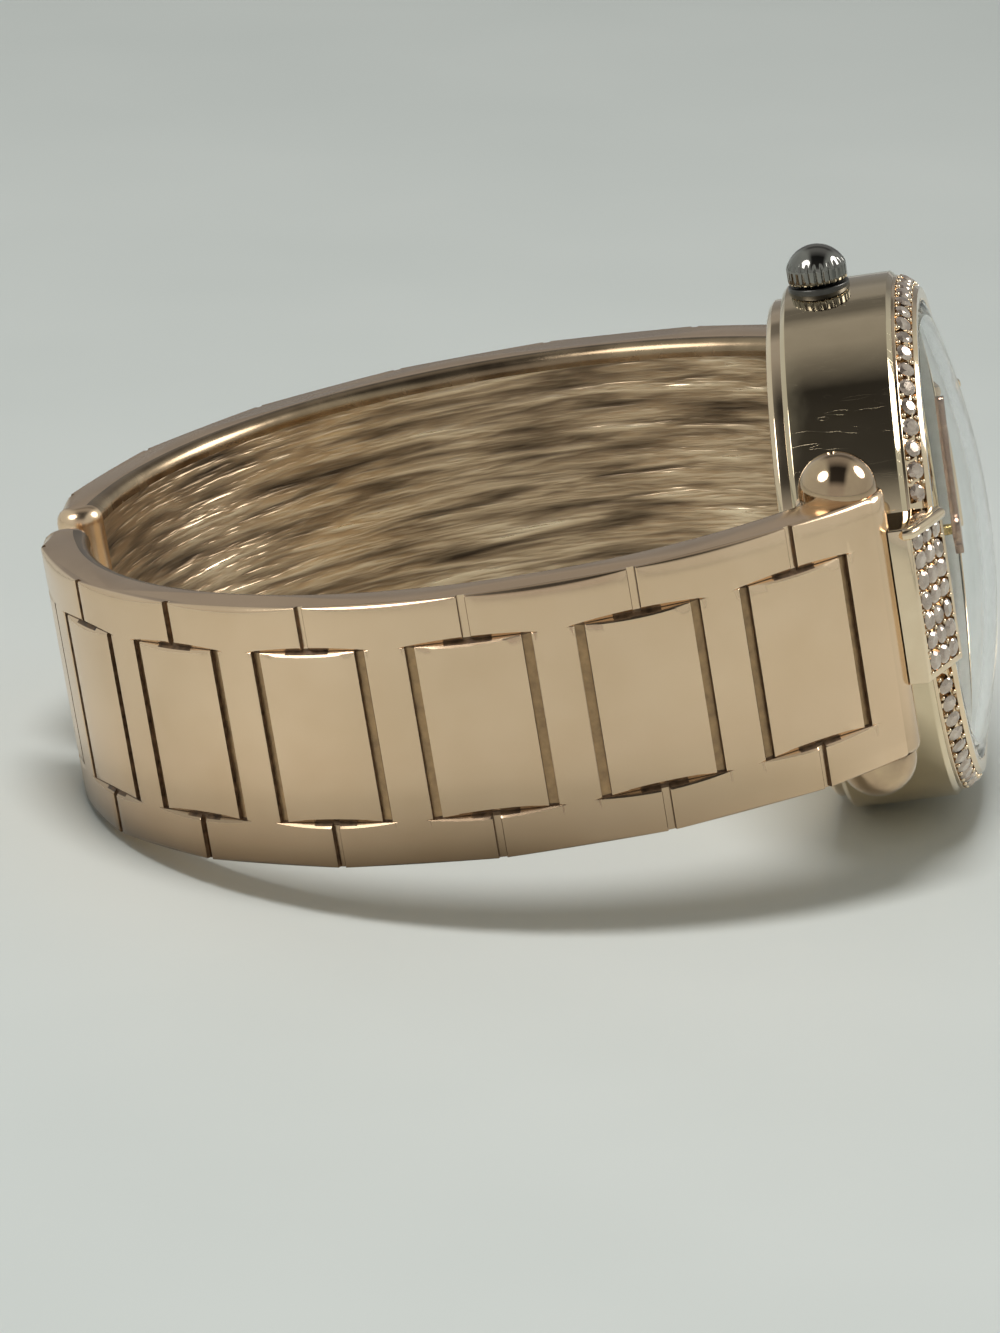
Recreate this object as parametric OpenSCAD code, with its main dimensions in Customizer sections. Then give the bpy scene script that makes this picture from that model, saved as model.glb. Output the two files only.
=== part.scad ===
// Cuff watch: a round watch head between two rigid, spring-hinged bangle arms.
// Every module is drawn in the watch's own frame, in millimetres:
// +X towards 3 o'clock (the crown), +Y towards 12 o'clock, +Z out of the dial.
// Z = 0 is the back rim of the case flank. lay() then rests the watch on a
// table on its side, crown up, as it lies when it is put down.

/* [Case] */
// Diameter of the round case
case_d = 32; // [31:0.5:35]
// Height of the case flank between its two rims
case_h = 6.7; // [6.5:0.1:7.6]
// Wall of the case around the movement
case_wall = 2.5; // [2.2:0.1:2.8]
// Bevel on both rims of the flank
rim_bevel = 0.3; // [0.2:0.05:0.4]
// Thickness of the lip that the dial presses against
lip_t = 0.4; // [0.3:0.05:0.5]
// How far the case back stands out behind the flank
back_h = 0.95; // [0.8:0.05:1.3]
// How far the case back's edge is set in from the flank
back_inset = 0.8; // [0.5:0.1:1.1]
// Thickness of the case back's plate
back_t = 0.6; // [0.5:0.05:0.7]
// Height of the ring that snaps into the case
snap_h = 0.9; // [0.7:0.05:1]
// Thickness of the case back gasket
back_gasket_t = 0.3; // [0.25:0.05:0.4]

/* [Bezel and crystal] */
// Width of the bezel, from the flank to the crystal
bezel_w = 2; // [1.8:0.1:2.3]
// Height of the bezel above the case
bezel_h = 1.4; // [1.3:0.05:1.6]
// Diameter of the bezel's stones
bezel_stone_d = 1.1; // [0.9:0.05:1.15]
// Distance from stone to stone along the bezel
bezel_pitch = 1.35; // [1.3:0.05:1.8]
// Thickness of the crystal
crystal_t = 0.8; // [0.6:0.05:1]
// Rise of the crystal's dome over its edge
dome_rise = 2.3; // [2.1:0.1:2.8]
// Wall of the crystal's gasket
crystal_gasket_t = 0.4; // [0.3:0.05:0.5]

/* [Dial and hands] */
// Thickness of the dial
dial_t = 0.4; // [0.3:0.05:0.5]
// Length of an hour marker
marker_l = 1.8; // [1.2:0.1:2.4]
// Width of an hour marker
marker_w = 0.5; // [0.4:0.05:0.8]
// Height of an hour marker above the dial
marker_h = 0.3; // [0.2:0.05:0.4]
// Length of the hour hand from the centre
hour_l = 6; // [4.5:0.1:7]
// Length of the minute hand from the centre
minute_l = 8.3; // [7.2:0.1:8.8]
// Length of the minute hand's tail
minute_tail = 1.5; // [1.2:0.1:2]
// Width of the hands
hand_w = 0.7; // [0.5:0.05:0.9]
// Thickness of the hour hand
hour_t = 0.25; // [0.15:0.05:0.3]
// Thickness of the minute hand
minute_t = 0.5; // [0.2:0.05:0.55]
// Height of the hour hand above the dial
hour_gap = 0.8; // [0.6:0.05:0.9]
// Height of the minute hand above the dial
minute_gap = 1.75; // [1.5:0.05:1.8]
// Angle that the hour hand has turned past 12
hour_angle = 307.5; // [0:0.5:360]

/* [Crown] */
// Height of the crown's axis over the back rim
crown_z = 2.3; // [2.2:0.05:2.6]
// Diameter of the crown
crown_d = 3.6; // [3.2:0.1:4]
// Height of the crown, dome included
crown_h = 2.25; // [2:0.05:3]
// How far the crown pulls out to set the hands
crown_travel = 1; // [0.6:0.1:1.2]
// Number of grip flutes around the crown
flutes = 24; // [16:1:30]
// Diameter of the collar on the crown tube
collar_d = 3.7; // [3.4:0.1:4]
// Height of the collar on the flank
collar_h = 0.4; // [0.35:0.05:0.6]
// Diameter of the winding stem
stem_d = 0.8; // [0.7:0.05:0.9]

/* [Arms] */
// Outer diameter of the bangle's round plan
bangle_d = 59.6; // [57:0.2:64]
// Width of the arms along the hinge
arm_w = 15.8; // [15:0.2:17]
// Wall of the arms beside the hinge line
arm_t = 3.5; // [3.2:0.1:3.9]
// How much the wall thins out towards the free end
arm_taper = 0.6; // [0.3:0.1:0.8]
// Gap between the two free ends
end_gap = 3; // [2:0.2:5]
// Bevel left on the long edges of the arms where two links meet
arm_bevel = 0.1; // [0.05:0.05:0.2]
// Depth of the straight bevel along each link's edge, at its middle
edge_cut = 0.5; // [0.42:0.02:0.56]
// Distance from panel to panel along the outside
panel_pitch = 9.93; // [9:0.1:10.1]
// Length of a panel along the outside
panel_l = 6.85; // [6:0.05:7.2]
// Height of a panel across the arm
panel_w = 10.4; // [9:0.1:11]
// Outside length from the hinge to the first panel's middle
first_panel = 6.05; // [5.8:0.05:6.6]
// Width of the grooves beside the panels
groove_w = 0.6; // [0.3:0.05:0.7]
// Depth of the grooves around the panels
groove_t = 0.3; // [0.2:0.05:0.4]
// Depth of the straight cut across each end of a panel
end_cut = 0.3; // [0.22:0.02:0.34]
// Width of the notches from the panels to the edges
notch_w = 0.5; // [0.3:0.05:0.6]

/* [Hinges] */
// Diameter of the arm's barrel around the hinge pin
barrel_d = 5.2; // [4.9:0.1:5.4]
// Gap between the arm's barrel and the flank
barrel_gap = 0.3; // [0.2:0.05:0.6]
// Height of the hinge axis over the back rim
hinge_z = 3.1; // [2.8:0.1:3.4]
// Diameter of the hinge pin
pin_d = 1; // [0.8:0.1:1.2]
// Diameter of the balls on the ends of the pin
ball_d = 4.6; // [4:0.1:4.8]
// How far the balls' centres stand off the arm
ball_off = 0.25; // [0.1:0.05:0.5]
// Running clearance around the hinge pin
pin_clear = 0.04; // [0.02:0.01:0.08]
// Clearance between parts that swing past each other
swing_clear = 0.3; // [0.2:0.05:0.35]
// Hollow between the arm's barrel and the end link over it
over_clear = 0.12; // [0.1:0.02:0.3]
// Wire of the hinge spring
spring_wire = 0.34; // [0.25:0.01:0.36]
// Number of turns of the hinge spring
spring_turns = 6; // [4:1:7]

/* [End links] */
// Width of the end links along the hinge
link_w = 9.4; // [8.6:0.2:10]
// How far the end links sit towards the crown from the middle of the arms
link_shift = 0.8; // [0:0.1:1]
// How far the end link reaches out past the hinge axis
link_reach = 0.7; // [0.5:0.05:0.9]
// How far the end link reaches in over the bezel
link_over = 1.3; // [1:0.05:1.4]
// Height of the end link's outer edge over the hinge axis
link_low = 3.7; // [3.6:0.1:4.2]
// Height of the end link's inner edge over the bezel's rim
link_high = 0.55; // [0.4:0.05:0.7]
// Diameter of the end link's stones
link_stone_d = 1.15; // [0.9:0.05:1.2]
// Distance from stone to stone on the end link
link_pitch = 1.22; // [1.22:0.02:1.4]
// Depth of the recess that holds the stones
tray_t = 0.35; // [0.35:0.05:0.45]
// Radius of the ridge along the end link's edge towards the crown
ridge_r = 0.34; // [0.25:0.01:0.36]

/* [Movement] */
// Diameter of the quartz movement
move_d = 18.4; // [18.2:0.1:19.4]
// Thickness of the movement's main plate
plate_t = 2; // [1.8:0.1:2.2]
// Diameter of the battery
battery_d = 6.8; // [6.4:0.1:6.8]
// Thickness of the battery
battery_t = 1.6; // [1.4:0.05:1.65]
// Tooth module of the train's first pair, rotor to intermediate wheel
module_a = 0.1; // [0.09:0.005:0.11]
// Tooth module of the train's second pair, intermediate to centre wheel
module_b = 0.09; // [0.08:0.005:0.1]
// Tooth module of the motion work under the dial
module_c = 0.15; // [0.13:0.005:0.16]

/* [Hidden] */
$fn = 96;

tiny = 0.02;                       // clearance of parts that are seated
fit = 0.05;                        // clearance of parts that turn
cut = 1;                           // how far a cutter runs past a face
case_r = case_d / 2;
bore_r = case_r - case_wall;
crystal_r = case_r - bezel_w;
lip_r = bore_r - 0.6;
back_r = case_r - back_inset;
gasket_r = bore_r + 0.6;
dial_r = bore_r - 0.1;
dial_top = case_h - lip_t;
dial_back = dial_top - dial_t;
bezel_r = case_r - rim_bevel;
bezel_top = case_h + bezel_h;
hour_z = dial_top + hour_gap;
minute_z = dial_top + minute_gap;
post_r = 0.35;                     // post of the centre wheel
pipe_r = 0.65;                     // pipe of the hour wheel
hub_r = 1;                         // hub of a hand

// bezel stones lie on a slope between these two corners
slope_low = [bezel_r - 0.02, case_h + 0.15];
slope_high = [crystal_r + 0.9, bezel_top - 0.2];
slope_mid = (slope_low + slope_high) / 2;
slope_angle = atan2(slope_low[0] - slope_high[0], slope_high[1] - slope_low[1]);
bezel_count = floor(2 * PI * slope_mid[0] / bezel_pitch);
bezel_seat_t = 0.35;

// crystal dome: a sphere through the edge and the crown of the dome
dome_edge = bezel_top;
dome_r = (pow(crystal_r, 2) + pow(dome_rise, 2)) / (2 * dome_rise);
dome_z = dome_edge + dome_rise - dome_r;

// hinge axis: the barrel clears the flank beside the end link
barrel_r = barrel_d / 2;
link_half = link_w / 2;
hinge_y = sqrt(pow(case_r, 2) - pow(link_half + swing_clear - link_shift, 2))
          + barrel_gap + barrel_r;
pin_r = pin_d / 2;
ball_r = ball_d / 2;
tongue_r = barrel_r - 0.7;
pocket_r = tongue_r + 0.15;
barrel_bevel = 0.35;
sweep_r = barrel_r + over_clear;   // hollow under the end link
spring_gap = 0.06;                 // from the pin to the spring
spring_pitch = spring_wire + 0.1;
spring_bore_r = pin_r + pin_clear + 2 * spring_gap + spring_wire + 0.12;
spring_room = (spring_turns + 1) * spring_pitch + 0.2;

// bangle: a round plan that is tangent to both barrels
bangle_r = bangle_d / 2;
bangle_z = hinge_z - sqrt(pow(bangle_r - barrel_r, 2) - pow(hinge_y, 2));
inner_r = bangle_r - arm_t;
inner_z = bangle_z - arm_taper;
arm_half = arm_w / 2;
hinge_turn = atan2(hinge_z - bangle_z, hinge_y);
nose_t = arm_t - arm_taper;        // wall at the free end
nose_r = nose_t / 2 - tiny;
nose_bevel = 0.3;                  // step of the rounded end inside the edges
nose_at = bangle_r - nose_t / 2;
nose_turn = acos((end_gap / 2 + nose_r) / nose_at);
deg = 180 / (PI * bangle_r);       // degrees per millimetre along the outside
arm_arc = (nose_turn + hinge_turn) / deg;
panels = floor((arm_arc - first_panel) / panel_pitch) + 1;

// end link profile
link_edge_y = hinge_y + link_reach;
link_in_y = case_r - link_over;
link_low_z = hinge_z + link_low;
link_high_z = bezel_top + link_high;
link_slope = atan2(link_high_z - link_low_z, link_edge_y - link_in_y);
link_face = norm([link_edge_y - link_in_y, link_high_z - link_low_z]);
tray_rim = 0.42;                   // polished rim around the stones
neck_low = -29;                    // edges of the neck, up from the line to the case
neck_high = 61.5;
link_rows = floor((link_w - 2 * tray_rim) / link_pitch);
link_cols = floor((link_face - 2 * tray_rim) / link_pitch);

// crown
crown_r = crown_d / 2;
tube_r = 0.85;
stem_r = stem_d / 2;
crown_gap = 0.12;
crown_foot = case_r + collar_h;
collar_top = crown_foot - crown_gap;

// movement levels, counted from the stem
plate_top = crown_z + plate_t / 2 + 0.3;
plate_back = plate_top - plate_t;
move_r = move_d / 2;
wheel_t = 0.3;
pivot_r = 0.13;
centre_z = plate_back - 0.48;
inter_z = centre_z - wheel_t - 0.15;
stator_z = centre_z - 0.02;
stator_t = 0.25;
bridge_z = plate_back - 1.45;
bridge_t = 0.25;
battery_at = [-4, 3.9];
battery_z = plate_top - 0.3 - battery_t;
clip_t = 0.15;
board_t = 0.35;
coil_y = -7.2;
coil_z = stator_z - 0.37;
core_l = 8;                        // core of the coil
coil_l = 6.2;                      // winding on it
can_l = 4.2;                       // can of the quartz crystal
cannon_z = plate_top + 0.15;
hour_wheel_z = cannon_z + wheel_t + 0.15;

// teeth, and distances between meshing axes
rotor_teeth = 6;
inter_teeth = 45;
inter_pinion = 6;
centre_teeth = 72;
cannon_teeth = 10;
minute_teeth = 30;
minute_pinion = 8;
hour_teeth = 32;
inter_dist = module_b * (inter_pinion + centre_teeth) / 2;
rotor_dist = module_a * (rotor_teeth + inter_teeth) / 2;
minute_dist = module_c * (cannon_teeth + minute_teeth) / 2;
inter_turn = -60;                  // direction of the intermediate wheel
minute_turn = 40;                  // direction of the minute wheel
rotor_turn = -150;                 // direction of the rotor from that wheel
inter_at = inter_dist * [cos(inter_turn), sin(inter_turn)];
rotor_at = inter_at + rotor_dist * [cos(rotor_turn), sin(rotor_turn)];
minute_at = minute_dist * [cos(minute_turn), sin(minute_turn)];

// rest on the table: the case's back rim and the free ends carry the watch
rim_z = rim_bevel;
end_off = first_panel + (panels - 0.5) * panel_pitch - arm_arc;
end_depth = max(arm_bevel, edge_cut - bangle_r * (1 - cos(end_off * deg)));
free_z = bangle_z - (bangle_r - end_depth) * sin(nose_turn);
tilt = atan2(case_r - arm_half, rim_z - free_z);
lift = case_r * cos(tilt) - rim_z * sin(tilt);
left_x = (bangle_z - bangle_r * sin(nose_turn)) * cos(tilt)
         - (arm_half - arm_bevel) * sin(tilt);
right_x = max(dome_z * cos(tilt) + dome_r,
              bezel_top * cos(tilt) + slope_high[0] * sin(tilt));
slide_x = -(left_x + right_x) / 2;

// Places the watch on the table
module lay() {
    translate([slide_x, 0, lift])
        rotate([180, -90 - tilt, 0])
            children();
}

// Turns a part of the 12 o'clock side into its twin at 6 o'clock
module twin(rear) {
    if (rear) mirror([0, 1, 0]) children();
    else children();
}

// Ring between two radii and two heights
module ring(outer, inner, z0, z1) {
    translate([0, 0, z0])
        difference() {
            cylinder(r = outer, h = z1 - z0);
            translate([0, 0, -cut]) cylinder(r = inner, h = z1 - z0 + 2 * cut);
        }
}

// Straight-flanked gear outline; tooth 0 points along +X when phase is 0
module gear(teeth, size, thick, phase = 0) {
    pitch_r = size * teeth / 2;
    step = 360 / teeth;
    root = pitch_r - 1.15 * size;
    tip = pitch_r + 0.85 * size;
    linear_extrude(height = thick)
        polygon([for (i = [0 : teeth - 1])
                 for (p = [[root, -0.33], [tip, -0.11], [tip, 0.11], [root, 0.33]])
                 p[0] * [cos(phase + step * (i + p[1])),
                         sin(phase + step * (i + p[1]))]]);
}

// Round brilliant: table, crown, girdle and a flat-cut pavilion, girdle at 0
module stone(d) {
    r = d / 2;
    rotate_extrude($fn = 16)
        polygon([[0, -0.28 * d], [0.28 * r, -0.28 * d], [r, -0.02], [r, 0.02],
                 [0.6 * r, 0.17 * d], [0, 0.17 * d]]);
}

// Mid-case with the dial lip, the seat of the gasket and the crown's bore
module case_body() {
    color("#B9A083") lay() difference() {
        rotate_extrude($fn = 180)
            polygon([[gasket_r, 0], [case_r - rim_bevel, 0], [case_r, rim_bevel],
                     [case_r, case_h - rim_bevel], [case_r - rim_bevel, case_h],
                     [lip_r, case_h], [lip_r, dial_top], [bore_r, dial_top],
                     [bore_r, back_gasket_t], [gasket_r, back_gasket_t]]);
        translate([bore_r - cut, 0, crown_z]) rotate([0, 90, 0])
            cylinder(r = tube_r + tiny, h = case_wall + 2 * cut, $fn = 48);
    }
}

// Snap-on case back with its inner ring
module case_back() {
    color("#9A9A98") lay() rotate_extrude($fn = 180)
        polygon([[0, -back_h], [back_r - rim_bevel, -back_h],
                 [back_r, rim_bevel - back_h], [back_r, 0],
                 [bore_r - tiny, 0], [bore_r - tiny, snap_h],
                 [bore_r - 0.8, snap_h], [bore_r - 0.8, back_t - back_h],
                 [0, back_t - back_h]]);
}

// Flat gasket between the case and its back
module case_back_gasket() {
    color("#202020") lay()
        ring(gasket_r - tiny, bore_r + tiny, tiny, back_gasket_t - tiny);
}

// Bezel with the sloped channel that holds the stones
module bezel() {
    color("#D8B48E") lay() rotate_extrude($fn = 180) difference() {
        polygon([[bezel_r, case_h], slope_low, slope_high,
                 [slope_high[0] - 0.15, bezel_top], [crystal_r + 0.15, bezel_top],
                 [crystal_r + tiny, bezel_top - 0.15],
                 [crystal_r + tiny, bezel_top - 0.4],
                 [crystal_r + crystal_gasket_t, bezel_top - 0.4],
                 [crystal_r + crystal_gasket_t, case_h]]);
        translate(slope_mid) rotate(slope_angle)
            translate([-bezel_seat_t, -bezel_stone_d / 2 - tiny])
                square([bezel_seat_t + cut, bezel_stone_d + 2 * tiny]);
    }
}

// Stones of the bezel, one solid each; none lies under an end link
module bezel_stones() {
    color("#EDF2F6") lay()
        for (i = [0 : bezel_count - 1]) {
            turn = i * 360 / bezel_count;
            if (abs(slope_mid[0] * cos(turn) - link_shift) > link_half + bezel_stone_d / 2)
                rotate([0, 0, turn]) translate([slope_mid[0], 0, slope_mid[1]])
                    rotate([0, 90 - slope_angle, 0])
                        translate([0, 0, 0.28 * bezel_stone_d - bezel_seat_t + tiny])
                            stone(bezel_stone_d);
        }
}

// Domed crystal
module crystal() {
    color([0.85, 0.93, 0.95, 0.35]) lay() difference() {
        intersection() {
            translate([0, 0, case_h + tiny])
                cylinder(r = crystal_r - tiny, h = 12, $fn = 180);
            translate([0, 0, dome_z]) sphere(r = dome_r, $fn = 180);
        }
        intersection() {
            cylinder(r = lip_r, h = case_h + 12, $fn = 180);
            translate([0, 0, dome_z]) sphere(r = dome_r - crystal_t, $fn = 180);
        }
    }
}

// Ring that seals the crystal in the bezel
module crystal_gasket() {
    color("#D8D8D2") lay()
        ring(crystal_r + crystal_gasket_t - tiny, crystal_r,
             case_h + tiny, bezel_top - 0.4 - tiny);
}

// Dial plate with its centre hole
module dial() {
    color("#F2EEE6") lay() ring(dial_r, pipe_r + 0.15, dial_back, dial_top);
}

// Applied hour markers, a double one at 12
module dial_markers() {
    color("#C79A74") lay()
        for (i = [0 : 11])
            rotate([0, 0, 90 - 30 * i])
                for (side = i == 0 ? [-1, 1] : [0])
                    translate([lip_r - 0.7 - marker_l,
                               (side * 1.4 - 0.5) * marker_w, dial_top])
                        cube([marker_l, marker_w, marker_h]);
}

// Straight hand with a round hub: a is its angle past 12, clockwise
module hand(a, length, tail, thick, z, hole) {
    rotate([0, 0, 90 - a]) difference() {
        translate([0, 0, z]) union() {
            cylinder(r = hub_r, h = thick);
            translate([-tail, -hand_w / 2, 0])
                cube([length + tail - hand_w / 2, hand_w, thick]);
            translate([length - hand_w / 2, 0, 0])
                cylinder(d = hand_w, h = thick, $fn = 24);
        }
        translate([0, 0, z - cut]) cylinder(r = hole, h = thick + 2 * cut);
    }
}

// Hour hand, pressed on the hour wheel's pipe
module hour_hand() {
    color("#C79A74") lay() hand(hour_angle, hour_l, 1.4, hour_t, hour_z, pipe_r);
}

// Minute hand, pressed on the centre post, at a quarter past
module minute_hand() {
    color("#C79A74") lay() hand(90, minute_l, minute_tail, minute_t, minute_z, post_r);
}

// Crown: a fluted dome with a skirt over the gasket
module crown() {
    dome_h = crown_h * 0.55;
    ball = (pow(crown_r, 2) + pow(dome_h, 2)) / (2 * dome_h);
    color("#6E6C6A") lay()
        translate([crown_foot, 0, crown_z]) rotate([0, 90, 0]) difference() {
            intersection() {
                cylinder(r = crown_r, h = crown_h);
                translate([0, 0, crown_h - ball]) sphere(r = ball);
            }
            for (i = [0 : flutes - 1])
                rotate([0, 0, i * 360 / flutes]) translate([crown_r + 0.04, 0, -cut])
                    cylinder(r = 0.13, h = cut + crown_h * 0.62, $fn = 16);
            translate([0, 0, -cut]) cylinder(r = tube_r + 0.1, h = cut + 1.1, $fn = 48);
            translate([0, 0, -cut]) cylinder(r = stem_r - tiny, h = cut + 1.7, $fn = 48);
        }
}

// O-ring inside the crown's skirt; it slides with the crown
module crown_gasket() {
    color("#202020") lay()
        translate([crown_foot + 0.55, 0, crown_z]) rotate([0, 90, 0])
            ring(tube_r + 0.08, stem_r + fit, 0, 0.4);
}

// Crown tube in the case wall, with its outer collar
module crown_tube() {
    color("#6E6C6A") lay()
        difference() {
            union() {
                translate([bore_r, 0, crown_z]) rotate([0, 90, 0])
                    cylinder(r = tube_r, h = crown_foot + 0.4 - bore_r, $fn = 48);
                difference() {
                    translate([case_r - 0.5, 0, crown_z]) rotate([0, 90, 0])
                        cylinder(d = collar_d, h = collar_top - case_r + 0.5, $fn = 64);
                    cylinder(r = case_r + tiny, h = case_h, $fn = 180);
                }
            }
            translate([bore_r - cut, 0, crown_z]) rotate([0, 90, 0])
                cylinder(r = stem_r + fit, h = case_wall + 4, $fn = 48);
        }
}

// Winding stem, screwed into the crown, with a square inner end
module stem() {
    color("#A7A9AB") lay()
        translate([0, 0, crown_z]) rotate([0, 90, 0]) union() {
            translate([0, 0, 6.2])
                cylinder(r = stem_r, h = crown_foot + 1.1 - 6.2, $fn = 48);
            translate([0, 0, crown_foot + 1.1])
                cylinder(r = stem_r - 2 * tiny, h = 0.55, $fn = 48);
            translate([0, 0, 4.2]) cylinder(r = stem_r * 0.6, h = 2, $fn = 4);
        }
}

// Sliding pinion on the square of the stem
module clutch_pinion() {
    color("#C9B06A") lay()
        translate([4.4, 0, crown_z]) rotate([0, 90, 0]) difference() {
            gear(12, 0.13, 1);
            translate([0, 0, -cut])
                cylinder(r = stem_r * 0.6 + tiny, h = 1 + 2 * cut, $fn = 4);
        }
}

// End link at 12 o'clock: tongue around the pin, neck, and the stone-set block
module link() {
    root = case_r - 1.6;           // runs into the flank, and is cut to it below
    pin = [hinge_y, hinge_z];
    translate([link_shift, 0, 0]) difference() {
        union() {
            translate([-link_half, 0, 0]) rotate([90, 0, 90]) {
                difference() {
                    linear_extrude(height = link_w)
                        polygon([[root, hinge_z + 1.2], [link_edge_y, hinge_z + 1.2],
                                 [link_edge_y, link_low_z], [link_in_y, link_high_z],
                                 [link_in_y, bezel_top - 1], [root, bezel_top - 1]]);
                    translate([hinge_y, hinge_z, -cut])
                        cylinder(r = sweep_r, h = link_w + 2 * cut);
                }
                translate([hinge_y, hinge_z, 0]) cylinder(r = tongue_r, h = link_w);
                // neck from the flank to the tongue, clear of the arm's swing
                linear_extrude(height = link_w)
                    polygon([pin, [root, hinge_z + (hinge_y - root) * tan(neck_low)],
                             [root, hinge_z + (sweep_r + 0.2) * sin(neck_high)],
                             pin + (sweep_r + 0.2) * [-cos(neck_high), sin(neck_high)]]);
            }
            // ridge along the edge towards the crown
            translate([link_half - ridge_r - tiny, link_edge_y, link_low_z])
                rotate([90 - link_slope, 0, 0]) translate([0, -ridge_r / 3, 0])
                    cylinder(r = ridge_r, h = link_face);
        }
        // seat on the round flank and over the bezel
        translate([-link_shift, 0, 0]) rotate_extrude($fn = 180)
            polygon([[0, -cut], [case_r + tiny, -cut], [case_r + tiny, case_h],
                     slope_low + [tiny, 0], slope_high + [tiny, 0],
                     [slope_high[0] + tiny, bezel_top + tiny], [0, bezel_top + tiny]]);
        // bore of the hinge pin and the room for its spring
        translate([-link_half - cut, hinge_y, hinge_z]) rotate([0, 90, 0])
            cylinder(r = pin_r + pin_clear, h = link_w + 2 * cut, $fn = 48);
        translate([-spring_room / 2, hinge_y, hinge_z]) rotate([0, 90, 0])
            cylinder(r = spring_bore_r, h = spring_room, $fn = 48);
        // recess for the stones
        translate([0, link_edge_y, link_low_z]) rotate([-link_slope, 0, 0])
            translate([-link_half + tray_rim, tray_rim - link_face, -tray_t])
                cube([link_w - 2 * tray_rim, link_face - 2 * tray_rim, 2]);
    }
}

// Stones in the recess of an end link
module link_stones() {
    translate([link_shift, link_edge_y, link_low_z]) rotate([-link_slope, 0, 0])
        for (row = [0 : link_rows - 1], col = [0 : link_cols - 1])
            translate([(row - (link_rows - 1) / 2) * link_pitch,
                       -link_face / 2 + (col - (link_cols - 1) / 2) * link_pitch,
                       0.28 * link_stone_d - tray_t + tiny])
                stone(link_stone_d);
}

module end_link_front() { color("#D8B48E") lay() link(); }
module end_link_rear() { color("#D8B48E") lay() twin(true) link(); }
module link_stones_front() { color("#EDF2F6") lay() link_stones(); }
module link_stones_rear() { color("#EDF2F6") lay() twin(true) link_stones(); }

// Round plan of the bangle with bevelled edges, axis along X
module bangle_blank() {
    translate([-arm_half, 0, bangle_z]) rotate([0, 90, 0]) rotate_extrude($fn = 180)
        polygon([[0, 0], [bangle_r - arm_bevel, 0], [bangle_r, arm_bevel],
                 [bangle_r, arm_w - arm_bevel], [bangle_r - arm_bevel, arm_w],
                 [0, arm_w]]);
}

// Wedge of the plan from one angle to another, both over the +Y direction
module wedge(a0, a1, reach) {
    n = 6;
    translate([-arm_half - cut, 0, bangle_z]) rotate([90, 0, 90])
        linear_extrude(height = arm_w + 2 * cut)
            polygon(concat([[0, 0]],
                           [for (i = [0 : n])
                            reach * [cos(a0 + (a1 - a0) * i / n),
                                     sin(a0 + (a1 - a0) * i / n)]]));
}

// Places a cutter on the outer face, a degrees round from the hinge line
module on_arm(a) {
    translate([0, 0, bangle_z]) rotate([hinge_turn - a, 0, 0])
        translate([0, bangle_r, 0]) children();
}

// Straight cutter with a right-angled edge, depth under the face, along the arm
module edge_cutter(depth, length) {
    translate([0, -depth, 0]) rotate([0, 0, 45])
        translate([0, 0, -length / 2]) cube([2, 2, length]);
}

// Grooves that draw the panels, the notches, and the bevels between the notches
module arm_grooves() {
    margin = arm_half - panel_w / 2;
    for (i = [0 : panels], side = [-1, 1]) {
        mid = (first_panel + i * panel_pitch) * deg;
        if (i < panels) {
            on_arm(mid + side * panel_l / 2 * deg)
                translate([-panel_w / 2 - tiny, -groove_t, -groove_w / 2])
                    cube([panel_w + 2 * tiny, groove_t + cut, groove_w]);
            on_arm(mid) translate([side * (panel_w + margin) / 2, 0, 0])
                translate([-margin / 2 - tiny, -groove_t, -notch_w / 2])
                    cube([margin + cut, groove_t + cut, notch_w]);
            on_arm(mid) translate([side * panel_w / 2, 0, 0])
                edge_cutter(end_cut, panel_pitch);
        }
        on_arm(mid - panel_pitch / 2 * deg) translate([side * arm_half, 0, 0])
            edge_cutter(edge_cut, panel_pitch);
    }
}

// Arm at 12 o'clock
module arm() {
    difference() {
        union() {
            intersection() {
                difference() {
                    bangle_blank();
                    translate([-arm_half - cut, 0, inner_z]) rotate([0, 90, 0])
                        cylinder(r = inner_r, h = arm_w + 2 * cut, $fn = 180);
                }
                wedge(-nose_turn, hinge_turn, bangle_r * 1.4);
            }
            // barrel around the hinge pin
            translate([-arm_half, hinge_y, hinge_z]) rotate([0, 90, 0])
                rotate_extrude()
                    polygon([[0, 0], [barrel_r - barrel_bevel, 0], [barrel_r, barrel_bevel],
                             [barrel_r, arm_w - barrel_bevel],
                             [barrel_r - barrel_bevel, arm_w], [0, arm_w]]);
            // rounded free end
            translate([-arm_half + nose_bevel, nose_at * cos(nose_turn),
                       bangle_z - nose_at * sin(nose_turn)])
                rotate([0, 90, 0]) cylinder(r = nose_r, h = arm_w - 2 * nose_bevel);
        }
        arm_grooves();
        // pocket for the end link's tongue, open towards the case
        translate([link_shift - link_half - swing_clear, hinge_y, hinge_z]) rotate([0, 90, 0])
            cylinder(r = pocket_r, h = link_w + 2 * swing_clear);
        translate([link_shift - link_half - swing_clear, hinge_y - 8,
                   hinge_z - pocket_r * 0.85])
            cube([link_w + 2 * swing_clear, 8, pocket_r * 0.85 + barrel_r + cut]);
        // bore that the pin is pressed into
        translate([-arm_half - cut, hinge_y, hinge_z]) rotate([0, 90, 0])
            cylinder(r = pin_r, h = arm_w + 2 * cut, $fn = 48);
    }
}

module arm_front() { color("#CDB08A") lay() arm(); }
module arm_rear() { color("#CDB08A") lay() twin(true) arm(); }

// Hinge pin through both barrels and the tongue
module hinge_pin() {
    translate([-arm_half - ball_off, hinge_y, hinge_z]) rotate([0, 90, 0])
        cylinder(r = pin_r, h = arm_w + 2 * ball_off, $fn = 48);
}

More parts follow.
